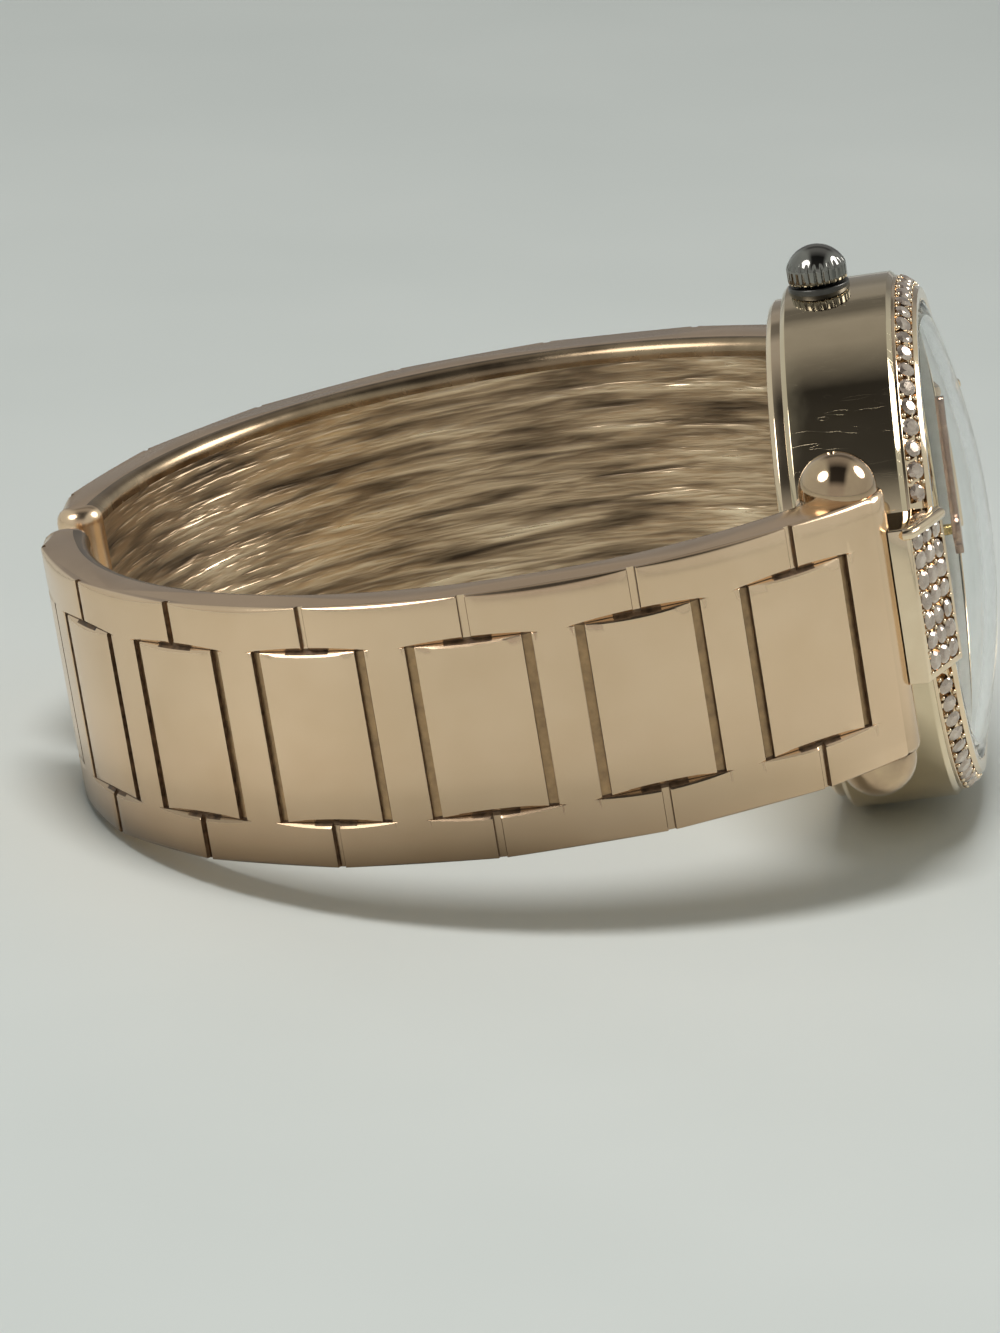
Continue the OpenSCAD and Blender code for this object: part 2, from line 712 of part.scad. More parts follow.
// Ball ends, pressed on the pin and flat against the arm
module hinge_balls() {
    for (side = [-1, 1])
        translate([side * (arm_half + ball_off), hinge_y, hinge_z]) rotate([0, side * 90, 0])
            difference() {
                sphere(r = ball_r);
                translate([0, 0, -ball_off - 2 * ball_r]) cylinder(r = 2 * ball_r, h = 2 * ball_r);
                translate([0, 0, -ball_off - cut]) cylinder(r = pin_r, h = ball_off + cut, $fn = 48);
            }
}

// Coiled spring around the pin, inside the tongue
module hinge_spring() {
    coil_r = pin_r + pin_clear + spring_gap + spring_wire / 2;
    steps = 16;
    sides = 6;
    total = spring_turns * steps;
    points = [for (i = [0 : total]) for (j = [0 : sides - 1])
              let (turn = 360 * i / steps,
                   r = coil_r + spring_wire / 2 * cos(360 * j / sides),
                   x = spring_pitch * i / steps + spring_wire / 2 * sin(360 * j / sides))
              [link_shift + x - spring_pitch * spring_turns / 2,
               hinge_y + r * cos(turn), hinge_z + r * sin(turn)]];
    polyhedron(points, concat(
        [[for (j = [sides - 1 : -1 : 0]) j]],
        [for (i = [0 : total - 1]) for (j = [0 : sides - 1])
         let (a = i * sides + j, b = i * sides + (j + 1) % sides)
         [a, b, a + sides]],
        [for (i = [0 : total - 1]) for (j = [0 : sides - 1])
         let (a = i * sides + j, b = i * sides + (j + 1) % sides)
         [a + sides, b, b + sides]],
        [[for (j = [0 : sides - 1]) total * sides + j]]));
}

module hinge_pin_front() { color("#CDB08A") lay() hinge_pin(); }
module hinge_pin_rear() { color("#CDB08A") lay() twin(true) hinge_pin(); }
module hinge_balls_front() { color("#CDB08A") lay() hinge_balls(); }
module hinge_balls_rear() { color("#CDB08A") lay() twin(true) hinge_balls(); }
module hinge_spring_front() { color("#8A8C8E") lay() hinge_spring(); }
module hinge_spring_rear() { color("#8A8C8E") lay() twin(true) hinge_spring(); }

// Plastic ring that centres the movement and carries the dial
module movement_ring() {
    color("#E6E2D8") lay() difference() {
        union() {
            ring(bore_r - tiny, move_r + tiny, plate_back, plate_top);
            ring(bore_r - tiny, move_r - 1.2, plate_top, dial_back);
            ring(bore_r - 0.8 - tiny, bore_r - 2, back_t - back_h + tiny, plate_back);
        }
        translate([move_r - 2, 0, crown_z]) rotate([0, 90, 0])
            cylinder(r = stem_r + 4 * fit, h = 8, $fn = 32);
    }
}

// Main plate with the battery's room, the stem's bore and the wheel posts' holes
module main_plate() {
    color("#C6B27C") lay() difference() {
        translate([0, 0, plate_back]) cylinder(r = move_r, h = plate_t);
        translate([battery_at[0], battery_at[1], plate_back - cut])
            cylinder(d = battery_d + 0.2, h = cut + battery_z + battery_t - plate_back + 0.05);
        translate([4.2, 0, crown_z]) rotate([0, 90, 0])
            cylinder(r = 1.1, h = 2.4, $fn = 32);
        translate([6.2, 0, crown_z]) rotate([0, 90, 0])
            cylinder(r = stem_r + fit, h = 8, $fn = 32);
        translate([0, 0, plate_back - cut]) cylinder(r = post_r + 0.12, h = plate_t + 2 * cut);
        for (p = [inter_at, rotor_at])
            translate([p[0], p[1], plate_back - cut])
                cylinder(r = pivot_r + 0.07, h = cut + 0.6, $fn = 32);
        translate([minute_at[0], minute_at[1], plate_top - 0.8])
            cylinder(r = 0.25, h = 2, $fn = 32);
    }
}

// Bridge that holds the train's rear pivots, on two pillars
module train_bridge() {
    color("#D9D9D6") lay() difference() {
        union() {
            translate([0, 0, bridge_z]) linear_extrude(height = bridge_t)
                polygon([[-1.6, -6.2], [5.4, -6.2], [5.4, 2.5], [3.6, 2.5],
                         [-1.3, 1.3]]);
            for (p = [[4.8, -5.5], [4.8, 1.9]])
                translate([p[0], p[1], bridge_z + bridge_t])
                    cylinder(r = 0.5, h = plate_back - bridge_z - bridge_t, $fn = 32);
        }
        for (p = [[0, 0], inter_at, rotor_at])
            translate([p[0], p[1], bridge_z - cut])
                cylinder(r = pivot_r + 0.07, h = bridge_t + 2 * cut, $fn = 32);
    }
}

// Button cell
module battery() {
    color("#C9CBCD") lay() translate([battery_at[0], battery_at[1], battery_z]) union() {
        cylinder(d = battery_d, h = battery_t - 0.3);
        translate([0, 0, battery_t - 0.3]) cylinder(d = battery_d - 1, h = 0.3);
    }
}

// Spring strap that holds the battery and touches its back
module battery_clip() {
    turn = atan2(battery_at[1], battery_at[0]) - 90;
    color("#B8B8B4") lay()
        translate([battery_at[0], battery_at[1], plate_back - clip_t]) union() {
            rotate([0, 0, turn])
                translate([-battery_d / 2 - 0.9, -0.9, 0]) cube([battery_d + 1.8, 1.8, clip_t]);
            cylinder(r = 0.8, h = battery_z - tiny - plate_back + clip_t, $fn = 32);
        }
}

// Circuit board on the rear of the plate
module circuit_board() {
    color("#2F6B45") lay()
        translate([-6.75, -6, plate_back - board_t]) cube([2.6, 4.2, board_t]);
}

// Quartz crystal in its can
module quartz_can() {
    color("#C4C6C8") lay()
        translate([7.2, -4.6, plate_back - 0.62]) rotate([-90, 0, 0])
            cylinder(r = 0.6, h = can_l, $fn = 32);
}

// Coil on its core
module coil() {
    color("#B5652B") lay() translate([0, coil_y, coil_z]) rotate([0, 90, 0]) union() {
        translate([0, 0, -core_l / 2]) cylinder(r = 0.35, h = core_l, $fn = 24);
        translate([0, 0, -coil_l / 2]) cylinder(r = 0.68, h = coil_l, $fn = 48);
    }
}

// Stator sheet: a hole around the rotor and a leg to each end of the coil
module stator() {
    leg = core_l / 2;
    gap = coil_l / 2 + 0.2;
    color("#9A9C9E") lay() translate([0, 0, stator_z]) difference() {
        linear_extrude(height = stator_t)
            polygon([[-leg, coil_y - 0.4], [-gap, coil_y - 0.4], [-gap, coil_y + 0.9],
                     [gap, coil_y + 0.9], [gap, coil_y - 0.4], [leg, coil_y - 0.4],
                     [leg, rotor_at[1] - 0.8], [rotor_at[0] + 1.4, rotor_at[1] - 0.8],
                     [rotor_at[0] + 1.4, rotor_at[1] + 0.72],
                     [rotor_at[0] - 1.4, rotor_at[1] + 0.72],
                     [rotor_at[0] - 1.4, rotor_at[1] - 0.8], [-leg, rotor_at[1] - 0.8]]);
        translate([rotor_at[0], rotor_at[1], -cut])
            cylinder(r = 0.6, h = stator_t + 2 * cut, $fn = 48);
    }
}

// Shaft between the train bridge and the main plate
module arbor() {
    translate([0, 0, bridge_z + 0.02])
        cylinder(r = pivot_r, h = plate_back + 0.5 - bridge_z, $fn = 24);
}

// Rotor magnet with its pinion
module rotor() {
    color("#5E6064") lay() translate([rotor_at[0], rotor_at[1], 0]) union() {
        translate([0, 0, inter_z - 0.05])
            gear(rotor_teeth, module_a, wheel_t + 0.05,
                 rotor_turn + 180 + 180 / rotor_teeth);
        translate([0, 0, inter_z + wheel_t])
            cylinder(r = 0.45, h = plate_back - 0.08 - inter_z - wheel_t, $fn = 32);
        arbor();
    }
}

// Intermediate wheel and its pinion
module intermediate_wheel() {
    color("#C9B06A") lay() translate([inter_at[0], inter_at[1], 0]) union() {
        translate([0, 0, inter_z])
            gear(inter_teeth, module_a, wheel_t - 0.05, rotor_turn);
        translate([0, 0, inter_z + wheel_t - 0.05])
            gear(inter_pinion, module_b, wheel_t + 0.2,
                 inter_turn + 180 + 180 / inter_pinion);
        arbor();
    }
}

// Centre wheel with the post that carries the minute hand
module centre_wheel() {
    color("#C9B06A") lay() union() {
        translate([0, 0, centre_z])
            gear(centre_teeth, module_b, wheel_t - 0.05, inter_turn);
        translate([0, 0, bridge_z + 0.02])
            cylinder(r = pivot_r, h = centre_z - bridge_z, $fn = 24);
        translate([0, 0, centre_z])
            cylinder(r = post_r - tiny, h = minute_z + minute_t - centre_z, $fn = 48);
        translate([0, 0, cannon_z]) gear(cannon_teeth, module_c, wheel_t, minute_turn);
    }
}

// Minute wheel and its pinion, under the dial
module minute_wheel() {
    color("#C9B06A") lay() translate([minute_at[0], minute_at[1], 0]) union() {
        translate([0, 0, cannon_z])
            gear(minute_teeth, module_c, wheel_t,
                 minute_turn + 180 + 180 / minute_teeth);
        translate([0, 0, cannon_z + wheel_t])
            gear(minute_pinion, module_c, wheel_t + 0.15,
                 minute_turn + 180 + 180 / minute_pinion);
        translate([0, 0, plate_top - 0.75]) cylinder(r = 0.2, h = 1, $fn = 24);
    }
}

// Hour wheel with the pipe that carries the hour hand
module hour_wheel() {
    color("#C9B06A") lay() difference() {
        union() {
            translate([0, 0, hour_wheel_z]) gear(hour_teeth, module_c, wheel_t - 0.05, minute_turn);
            translate([0, 0, hour_wheel_z])
                cylinder(r = pipe_r - tiny, h = hour_z + hour_t - hour_wheel_z, $fn = 48);
        }
        translate([0, 0, hour_wheel_z - cut])
            cylinder(r = post_r + 0.04, h = 10, $fn = 48);
    }
}

case_body();
case_back();
case_back_gasket();
bezel();
bezel_stones();
crystal();
crystal_gasket();
dial();
dial_markers();
hour_hand();
minute_hand();
crown();
crown_gasket();
crown_tube();
stem();
clutch_pinion();
end_link_front();
end_link_rear();
link_stones_front();
link_stones_rear();
arm_front();
arm_rear();
hinge_pin_front();
hinge_pin_rear();
hinge_balls_front();
hinge_balls_rear();
hinge_spring_front();
hinge_spring_rear();
movement_ring();
main_plate();
train_bridge();
battery();
battery_clip();
circuit_board();
quartz_can();
coil();
stator();
rotor();
intermediate_wheel();
centre_wheel();
minute_wheel();
hour_wheel();
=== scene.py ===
"""Looks of the cuff watch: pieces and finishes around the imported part, one shared frame.

Pieces are drawn in the watch's own frame, in millimetres: +X to 3 o'clock (the crown),
+Y to 12 o'clock, +Z out of the dial. The part's frame is metres, on the table.
"""

import math
import random

import bpy
import bmesh
from mathutils import Matrix, Vector


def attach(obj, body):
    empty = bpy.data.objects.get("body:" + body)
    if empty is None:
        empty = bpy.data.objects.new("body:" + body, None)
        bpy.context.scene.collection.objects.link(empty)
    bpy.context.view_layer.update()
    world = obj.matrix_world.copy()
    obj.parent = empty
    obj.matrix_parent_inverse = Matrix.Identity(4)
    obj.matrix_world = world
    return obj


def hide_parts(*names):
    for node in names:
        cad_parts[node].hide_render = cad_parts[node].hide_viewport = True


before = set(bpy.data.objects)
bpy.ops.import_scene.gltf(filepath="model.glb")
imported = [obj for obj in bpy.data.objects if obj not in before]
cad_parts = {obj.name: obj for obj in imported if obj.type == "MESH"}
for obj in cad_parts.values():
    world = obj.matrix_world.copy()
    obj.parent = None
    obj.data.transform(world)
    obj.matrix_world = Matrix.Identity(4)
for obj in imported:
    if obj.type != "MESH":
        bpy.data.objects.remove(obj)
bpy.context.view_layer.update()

MM = 0.001

# Driving sizes, in mm, as in the part's source
CASE_R, CASE_H, RIM = 16.0, 6.7, 0.3
CASE_WALL, GASKET_WALL, LIP_WALL, SEAT_T = 2.5, 1.9, 3.1, 0.4
BACK_H, BACK_INSET = 0.95, 0.8
BEZEL_W, BEZEL_H = 2.0, 1.4
BEZEL_STONE, BEZEL_COUNT, BEZEL_SEAT = 1.1, 71, 0.35
# A stone's depth under its girdle, as a share of its width, and its play in the seat
PAVILION, STONE_CLEAR = 0.28, 0.02
# Radius of the beads beside the stones, and how far the bezel's are from its channel's middle
BEAD_R, BEAD_OFF = 0.15, 0.42
CRYSTAL_T, DOME_RISE = 0.8, 2.3
HINGE_Z, BARREL_R, BARREL_GAP = 3.1, 2.6, 0.3
TONGUE_WALL, POCKET_GAP, PIN_HOLE_R = 0.7, 0.15, 0.54
LINK_W, LINK_SHIFT, LINK_REACH, LINK_OVER, LINK_LOW, LINK_HIGH = 9.4, 0.8, 0.7, 1.3, 3.7, 0.55
LINK_STONE, LINK_PITCH, LINK_ROWS, LINK_COLS = 1.15, 1.22, 7, 3
TRAY_RIM, TRAY_T, RIDGE_R, OVER_CLEAR = 0.42, 0.35, 0.34, 0.12
BANGLE_R, ARM_W, ARM_T, ARM_TAPER, END_GAP = 29.8, 15.8, 3.5, 0.6, 3.0
EDGE_CUT, ARM_BEVEL = 0.5, 0.1
PANELS, PITCH, PANEL_L, PANEL_W, FIRST_PANEL = 7, 9.93, 6.85, 10.4, 6.05
GROOVE_W, GROOVE_T, NOTCH_W, END_CUT = 0.6, 0.3, 0.5, 0.3
BALL_R, BALL_OFF = 2.3, 0.25
CROWN_R, CROWN_H, CROWN_Z, FLUTES = 1.8, 2.25, 2.3, 24
CROWN_FOOT = CASE_R + 0.4
HOUR_L, HOUR_TAIL, HOUR_T, HOUR_GAP, HOUR_HOLE_R = 6.0, 1.4, 0.25, 0.8, 0.65
MINUTE_L, MINUTE_TAIL, MINUTE_T, MINUTE_GAP, MINUTE_HOLE_R = 8.3, 1.5, 0.5, 1.75, 0.35
HAND_W, HUB_R, HOUR_TURN, MINUTE_TURN = 0.7, 1.0, math.radians(307.5), math.radians(90)
SWING = 0.3

# Worked out as in the part's source
ARM_HALF = ARM_W / 2
BEZEL_TOP = CASE_H + BEZEL_H
BORE_R, LIP_R, DIAL_TOP = CASE_R - CASE_WALL, CASE_R - LIP_WALL, CASE_H - SEAT_T
TONGUE_R = BARREL_R - TONGUE_WALL
CRYSTAL_R = CASE_R - BEZEL_W
DOME_R = (CRYSTAL_R ** 2 + DOME_RISE ** 2) / (2 * DOME_RISE)
DOME_Z = BEZEL_TOP + DOME_RISE - DOME_R
HINGE_Y = (math.sqrt(CASE_R ** 2 - (LINK_W / 2 + SWING - LINK_SHIFT) ** 2)
           + BARREL_GAP + BARREL_R)
BANGLE_Z = HINGE_Z - math.sqrt((BANGLE_R - BARREL_R) ** 2 - HINGE_Y ** 2)
INNER_R, INNER_Z = BANGLE_R - ARM_T, BANGLE_Z - ARM_TAPER
HINGE_TURN = math.atan2(HINGE_Z - BANGLE_Z, HINGE_Y)
NOSE_T = ARM_T - ARM_TAPER
NOSE_R = NOSE_T / 2 - 0.02
NOSE_AT = BANGLE_R - NOSE_T / 2
NOSE_TURN = math.acos((END_GAP / 2 + NOSE_R) / NOSE_AT)
ARC = (NOSE_TURN + HINGE_TURN) * BANGLE_R
END_OFF = FIRST_PANEL + (PANELS - 0.5) * PITCH - ARC
END_DEPTH = max(ARM_BEVEL, EDGE_CUT - BANGLE_R * (1 - math.cos(END_OFF / BANGLE_R)))
FREE_Z = BANGLE_Z - (BANGLE_R - END_DEPTH) * math.sin(NOSE_TURN)
TILT = math.atan2(CASE_R - ARM_HALF, RIM - FREE_Z)
LIFT = CASE_R * math.cos(TILT) - RIM * math.sin(TILT)
SLOPE_LOW = Vector((CASE_R - RIM - 0.02, CASE_H + 0.15))
SLOPE_HIGH = Vector((CRYSTAL_R + 0.9, BEZEL_TOP - 0.2))
SLOPE_MID = (SLOPE_LOW + SLOPE_HIGH) / 2
SLOPE_ANGLE = math.atan2(SLOPE_LOW.x - SLOPE_HIGH.x, SLOPE_HIGH.y - SLOPE_LOW.y)
LEFT_X = ((BANGLE_Z - BANGLE_R * math.sin(NOSE_TURN)) * math.cos(TILT)
          - (ARM_HALF - ARM_BEVEL) * math.sin(TILT))
RIGHT_X = max(DOME_Z * math.cos(TILT) + DOME_R,
              BEZEL_TOP * math.cos(TILT) + SLOPE_HIGH.x * math.sin(TILT))
SLIDE = -(LEFT_X + RIGHT_X) / 2
LINK_EDGE_Y = HINGE_Y + LINK_REACH
LINK_IN_Y = CASE_R - LINK_OVER
LINK_LOW_Z = HINGE_Z + LINK_LOW
LINK_HIGH_Z = BEZEL_TOP + LINK_HIGH
LINK_SLOPE = math.atan2(LINK_HIGH_Z - LINK_LOW_Z, LINK_EDGE_Y - LINK_IN_Y)
LINK_FACE = math.hypot(LINK_EDGE_Y - LINK_IN_Y, LINK_HIGH_Z - LINK_LOW_Z)

SIN, COS = math.sin(TILT), math.cos(TILT)
LAY = Matrix(((-SIN * MM, 0, COS * MM, SLIDE * MM),
              (0, -MM, 0, 0),
              (COS * MM, 0, SIN * MM, LIFT * MM),
              (0, 0, 0, 1)))
REAR = Matrix.Diagonal((1, -1, 1, 1))

# The photograph's camera, fitted to the case, the crown and the bangle
VIEW_TURN, VIEW_HEIGHT, VIEW_ROLL = math.radians(7.78), math.radians(15.63), math.radians(-9.48)
VIEW_AT = Vector((-20.56, 0, -4.93))
VIEW_AWAY = 450.0
# Its focal length was fitted in pixels of the photograph, which is 1333 pixels high
SENSOR, PHOTO_HIGH = 36, 1333
VIEW_LENS = 7350.4 * SENSOR / PHOTO_HIGH


def watch_point(x, y, z):
    """A point of the photograph's fit (dial, back, crown directions) in the part's frame"""
    return Vector((x * COS - z * SIN + SLIDE, y, x * SIN + z * COS + LIFT)) * MM


def view_axes():
    """Right, up and backward directions of the photograph's camera"""
    back = Vector((math.sin(VIEW_TURN) * math.cos(VIEW_HEIGHT),
                   -math.cos(VIEW_TURN) * math.cos(VIEW_HEIGHT), math.sin(VIEW_HEIGHT)))
    right = Vector((0, 0, 1)).cross(back).normalized()
    up = back.cross(right)
    turned = (right * math.cos(VIEW_ROLL) + up * math.sin(VIEW_ROLL),
              up * math.cos(VIEW_ROLL) - right * math.sin(VIEW_ROLL), back)
    zero = watch_point(0, 0, 0)
    return [((watch_point(*axis) - zero) / MM).normalized() for axis in turned]


def place_camera():
    """Camera at the photograph's viewing angle"""
    right, up, back = view_axes()
    data = bpy.data.cameras.new("camera")
    data.lens, data.sensor_width, data.sensor_fit = VIEW_LENS, SENSOR, "AUTO"
    data.clip_start, data.clip_end = 0.01, 20
    camera = bpy.data.objects.new("camera", data)
    camera.matrix_world = (Matrix.Translation(watch_point(*VIEW_AT) + back * VIEW_AWAY * MM)
                           @ Matrix((right, up, back)).transposed().to_4x4())
    bpy.context.scene.collection.objects.link(camera)
    bpy.context.scene.camera = camera


# Finishes

def linear(colour):
    """An sRGB hex colour as linear red, green, blue and alpha"""
    parts = [int(colour[i:i + 2], 16) / 255 for i in (1, 3, 5)]
    return [p / 12.92 if p <= 0.04045 else ((p + 0.055) / 1.055) ** 2.4 for p in parts] + [1]


def add(tree, kind, inputs=None, stops=(), **settings):
    """Adds a node with its settings, sets or links its inputs, and gives a colour ramp its
    (place, linear colour) stops"""
    node = tree.nodes.new(kind)
    for name, value in settings.items():
        setattr(node, name, value)
    for name, value in (inputs or {}).items():
        if isinstance(value, bpy.types.NodeSocket):
            tree.links.new(value, node.inputs[name])
        else:
            node.inputs[name].default_value = value
    for _ in stops[2:]:
        node.color_ramp.elements.new(1)
    for i, (at, colour) in enumerate(stops):
        element = node.color_ramp.elements[i]
        element.position, element.color = at, colour
    return node


def finish(name, **shader):
    """A new material with one Principled shader; returns it, its tree and the shader"""
    material = bpy.data.materials.new(name)
    material.use_nodes = True
    tree = material.node_tree
    tree.nodes.clear()
    surface = add(tree, "ShaderNodeBsdfPrincipled", shader)
    add(tree, "ShaderNodeOutputMaterial", {"Surface": surface.outputs["BSDF"]})
    return material, tree, surface


def wear(tree, surface, size_mm, rough, tones, bump_mm):
    """Roughness and tone that drift over size_mm, with a waviness of bump_mm"""
    where = add(tree, "ShaderNodeTexCoord").outputs["Object"]
    drift = add(tree, "ShaderNodeTexNoise", {"Vector": where, "Scale": 1 / (size_mm * MM),
                                             "Detail": 3, "Roughness": 0.55})
    # nearly all of the noise lies between these
    least, most = 0.3, 0.7
    tone = add(tree, "ShaderNodeValToRGB", {"Fac": drift.outputs["Fac"]},
               stops=((least, linear(tones[0])), (most, linear(tones[1]))))
    tree.links.new(tone.outputs["Color"], surface.inputs["Base Color"])
    spread = add(tree, "ShaderNodeMapRange",
                 {"Value": drift.outputs["Fac"], "From Min": least, "From Max": most,
                  "To Min": rough[0], "To Max": rough[1]})
    tree.links.new(spread.outputs["Result"], surface.inputs["Roughness"])
    if bump_mm:
        bump = add(tree, "ShaderNodeBump", {"Height": drift.outputs["Fac"], "Strength": 1.0,
                                            "Distance": bump_mm * MM})
        tree.links.new(bump.outputs["Normal"], surface.inputs["Normal"])
    return drift


def rose_gold_plate():
    """Rose gold plating over buffed brass: a soft mirror that takes the table's tone"""
    material, tree, surface = finish("rose_gold_plate_buffed", Metallic=1.0)
    wear(tree, surface, 5, (0.16, 0.24), ("#EACBA1", "#F1D4AD"), 0.01)
    return material


def rose_gold_arm_plate():
    """The same plating on the arms' outer faces, with painted shade: its colour is painted browner
    and darker towards the long edge next to the table, and painted brighter again by the hinge"""
    material, tree, surface = finish("rose_gold_plate_buffed_painted_edge_shade", Metallic=1.0)
    wear(tree, surface, 5, (0.17, 0.25), ("#EDCDA9", "#F6D7B4"), 0.01)
    plain_tone = surface.inputs["Base Color"].links[0].from_socket
    # u and v are the places along and across the arm, in mm from the hinge and its middle
    spot = add(tree, "ShaderNodeSeparateXYZ",
               {"Vector": add(tree, "ShaderNodeUVMap").outputs["UV"]})
    # painted shade: the tone falls from the middle of the arm to its lower edge, fully from 26 mm
    # on
    across = add(tree, "ShaderNodeMapRange", {"Value": spot.outputs["Y"],
                                              "From Min": 0.0, "From Max": -ARM_HALF})
    along = add(tree, "ShaderNodeMapRange", {"Value": spot.outputs["X"], "From Min": 2,
                                             "From Max": 26, "To Min": 0.4, "To Max": 1.0})
    fall = add(tree, "ShaderNodeMath", {0: across.outputs["Result"],
                                        1: along.outputs["Result"]}, operation="MULTIPLY")
    # painted shade: how much darker the colour is made, from none to most
    tones = ((0.0, "#FFFFFF"), (0.24, "#F9F8F8"), (0.38, "#EFEEED"), (0.5, "#DEDDDB"),
             (0.66, "#CECCCA"), (0.8, "#B8B5B2"), (0.92, "#98948F"), (1.0, "#7C7873"))
    painted_edge_shade = add(tree, "ShaderNodeValToRGB", {"Fac": fall.outputs["Value"]},
               stops=[(at, linear(tone)) for at, tone in tones])
    edge = add(tree, "ShaderNodeMix", {"Factor": 1.0, "A": plain_tone, "B": painted_edge_shade.outputs["Color"]},
               data_type="RGBA", blend_type="MULTIPLY")
    # and from the first panel on, the whole face is painted a little darker, which leaves it
    # painted brighter by the hinge
    painted_dimming = add(tree, "ShaderNodeMapRange", {"Value": spot.outputs["X"], "From Min": 5,
                                              "From Max": 18, "To Min": 1.0, "To Max": 0.88})
    whole = add(tree, "ShaderNodeMix", {"Factor": 1.0, "A": edge.outputs["Result"],
                                        "B": painted_dimming.outputs["Result"]},
                data_type="RGBA", blend_type="MULTIPLY")
    tree.links.new(whole.outputs["Result"], surface.inputs["Base Color"])
    return material


def rose_gold_edge():
    """The same plating where it was polished bright, on rims, links and beads"""
    material, tree, surface = finish("rose_gold_plate_bright", Metallic=1.0)
    wear(tree, surface, 2, (0.06, 0.11), ("#E9D0AF", "#F2DCBC"), 0.003)
    return material


def groove_painted_shade():
    """Painted shade on the grooves' walls and deep corners and in the end cuts' creases: dark
    brown, dull, patchy
    """
    material, tree, surface = finish("rose_gold_groove_painted_shade", Metallic=0.5)
    wear(tree, surface, 0.5, (0.35, 0.6), ("#4A3828", "#86694D"), 0.02)
    return material


def groove_floor():
    """Plating on the grooves' floors, where no polishing wheel reached: dull, greyish"""
    material, tree, surface = finish("rose_gold_plate_groove_dull", Metallic=0.9)
    wear(tree, surface, 0.7, (0.3, 0.45), ("#92775A", "#B8976F"), 0.01)
    return material


def flank_polish():
    """Plating over a polished flank: sharp reflected bands, small knocks and fine scratches"""
    material, tree, surface = finish("rose_gold_plate_flank_polished", Metallic=1.0)
    drift = wear(tree, surface, 4, (0.04, 0.08), ("#D9C6A6", "#E4D1B0"), 0)
    around = add(tree, "ShaderNodeUVMap").outputs["UV"]
    # dents of about 0.2 mm, some 2.5 mm apart, where the flank was knocked
    knocks = add(tree, "ShaderNodeTexVoronoi", {"Vector": around, "Scale": 0.42})
    dent = add(tree, "ShaderNodeMapRange", {"Value": knocks.outputs["Distance"],
                                            "From Min": 0.02, "From Max": 0.07})
    # scratches: thin lines of a bent, long-drawn pattern, 0.05 mm wide
    lines = add(tree, "ShaderNodeMapping", {"Vector": around, "Scale": (1 / 1.6, 1 / 9, 1),
                                            "Rotation": (0, 0, 0.5)})
    bend = add(tree, "ShaderNodeTexNoise", {"Vector": lines.outputs["Vector"], "Scale": 1.0,
                                            "Detail": 2, "Distortion": 1.2})
    off = add(tree, "ShaderNodeMath", {0: bend.outputs["Fac"], 1: 0.5}, operation="SUBTRACT")
    away = add(tree, "ShaderNodeMath", {0: off.outputs["Value"]}, operation="ABSOLUTE")
    line = add(tree, "ShaderNodeMapRange", {"Value": away.outputs["Value"],
                                            "From Min": 0.0003, "From Max": 0.002})
    low = add(tree, "ShaderNodeMath", {0: line.outputs["Result"], 1: dent.outputs["Result"]},
              operation="MULTIPLY")
    height = add(tree, "ShaderNodeMath", {0: low.outputs["Value"], 1: 0.05,
                                          2: drift.outputs["Fac"]}, operation="MULTIPLY_ADD")
    bump = add(tree, "ShaderNodeBump", {"Height": height.outputs["Value"], "Strength": 1.0,
                                        "Distance": 0.015 * MM})
    tree.links.new(bump.outputs["Normal"], surface.inputs["Normal"])
    return material


def inner_streaks():
    """Bare, rough-drawn inside of the arms: long brown streaks, worn bright on their tops"""
    material, tree, surface = finish("rose_gold_plate_drawn_tarnished", Metallic=1.0)
    along = add(tree, "ShaderNodeUVMap").outputs["UV"]
    # u runs along the arm in mm, v across it; streaks 0.9 mm apart and about 9 mm long
    long = add(tree, "ShaderNodeMapping", {"Vector": along, "Scale": (1 / 9, 1 / 0.9, 1)})
    bend = add(tree, "ShaderNodeTexNoise", {"Vector": long.outputs["Vector"], "Scale": 1.0,
                                            "Detail": 3, "Roughness": 0.5, "Distortion": 0.4})
    fine = add(tree, "ShaderNodeMapping", {"Vector": along, "Scale": (1 / 4, 1 / 0.3, 1)})
    grain = add(tree, "ShaderNodeTexNoise", {"Vector": fine.outputs["Vector"], "Scale": 1.0,
                                             "Detail": 2, "Roughness": 0.5})
    height = add(tree, "ShaderNodeMath", {0: grain.outputs["Fac"], 1: 0.3,
                                          2: bend.outputs["Fac"]}, operation="MULTIPLY_ADD")
    tones = ((0.42, "#4B3F33"), (0.58, "#937F67"), (0.72, "#CBB394"), (0.9, "#F0DCBD"))
    drawn = add(tree, "ShaderNodeValToRGB", {"Fac": height.outputs["Value"]},
                stops=[(at, linear(tone)) for at, tone in tones])
    tree.links.new(drawn.outputs["Color"], surface.inputs["Base Color"])
    spread = add(tree, "ShaderNodeMapRange",
                 {"Value": height.outputs["Value"], "From Min": 0.4, "From Max": 0.9,
                  "To Min": 0.45, "To Max": 0.26})
    tree.links.new(spread.outputs["Result"], surface.inputs["Roughness"])
    bump = add(tree, "ShaderNodeBump", {"Height": height.outputs["Value"], "Strength": 1.0,
                                        "Distance": 0.32 * MM})
    tree.links.new(bump.outputs["Normal"], surface.inputs["Normal"])
    return material


def bare_steel(name, tones, rough, bump_mm):
    """Bare steel: a cool grey with faint wear, as glossy as it was worked"""
    material, tree, surface = finish(name, Metallic=1.0)
    wear(tree, surface, 1.5, rough, tones, bump_mm)
    return material


def rhinestone():
    """Foiled cut glass: silver behind clear facets, so each facet shows one flat tone; their warm
    brown tone is a painted reflection of the rose gold round them
    """
    material, tree, surface = finish("foiled_glass_cut", Metallic=0.75)
    surface.inputs["Coat Weight"].default_value = 1.0
    surface.inputs["Coat Roughness"].default_value = 0.02
    wear(tree, surface, 0.8, (0.03, 0.09), ("#A59182", "#DBCAB9"), 0)
    return material


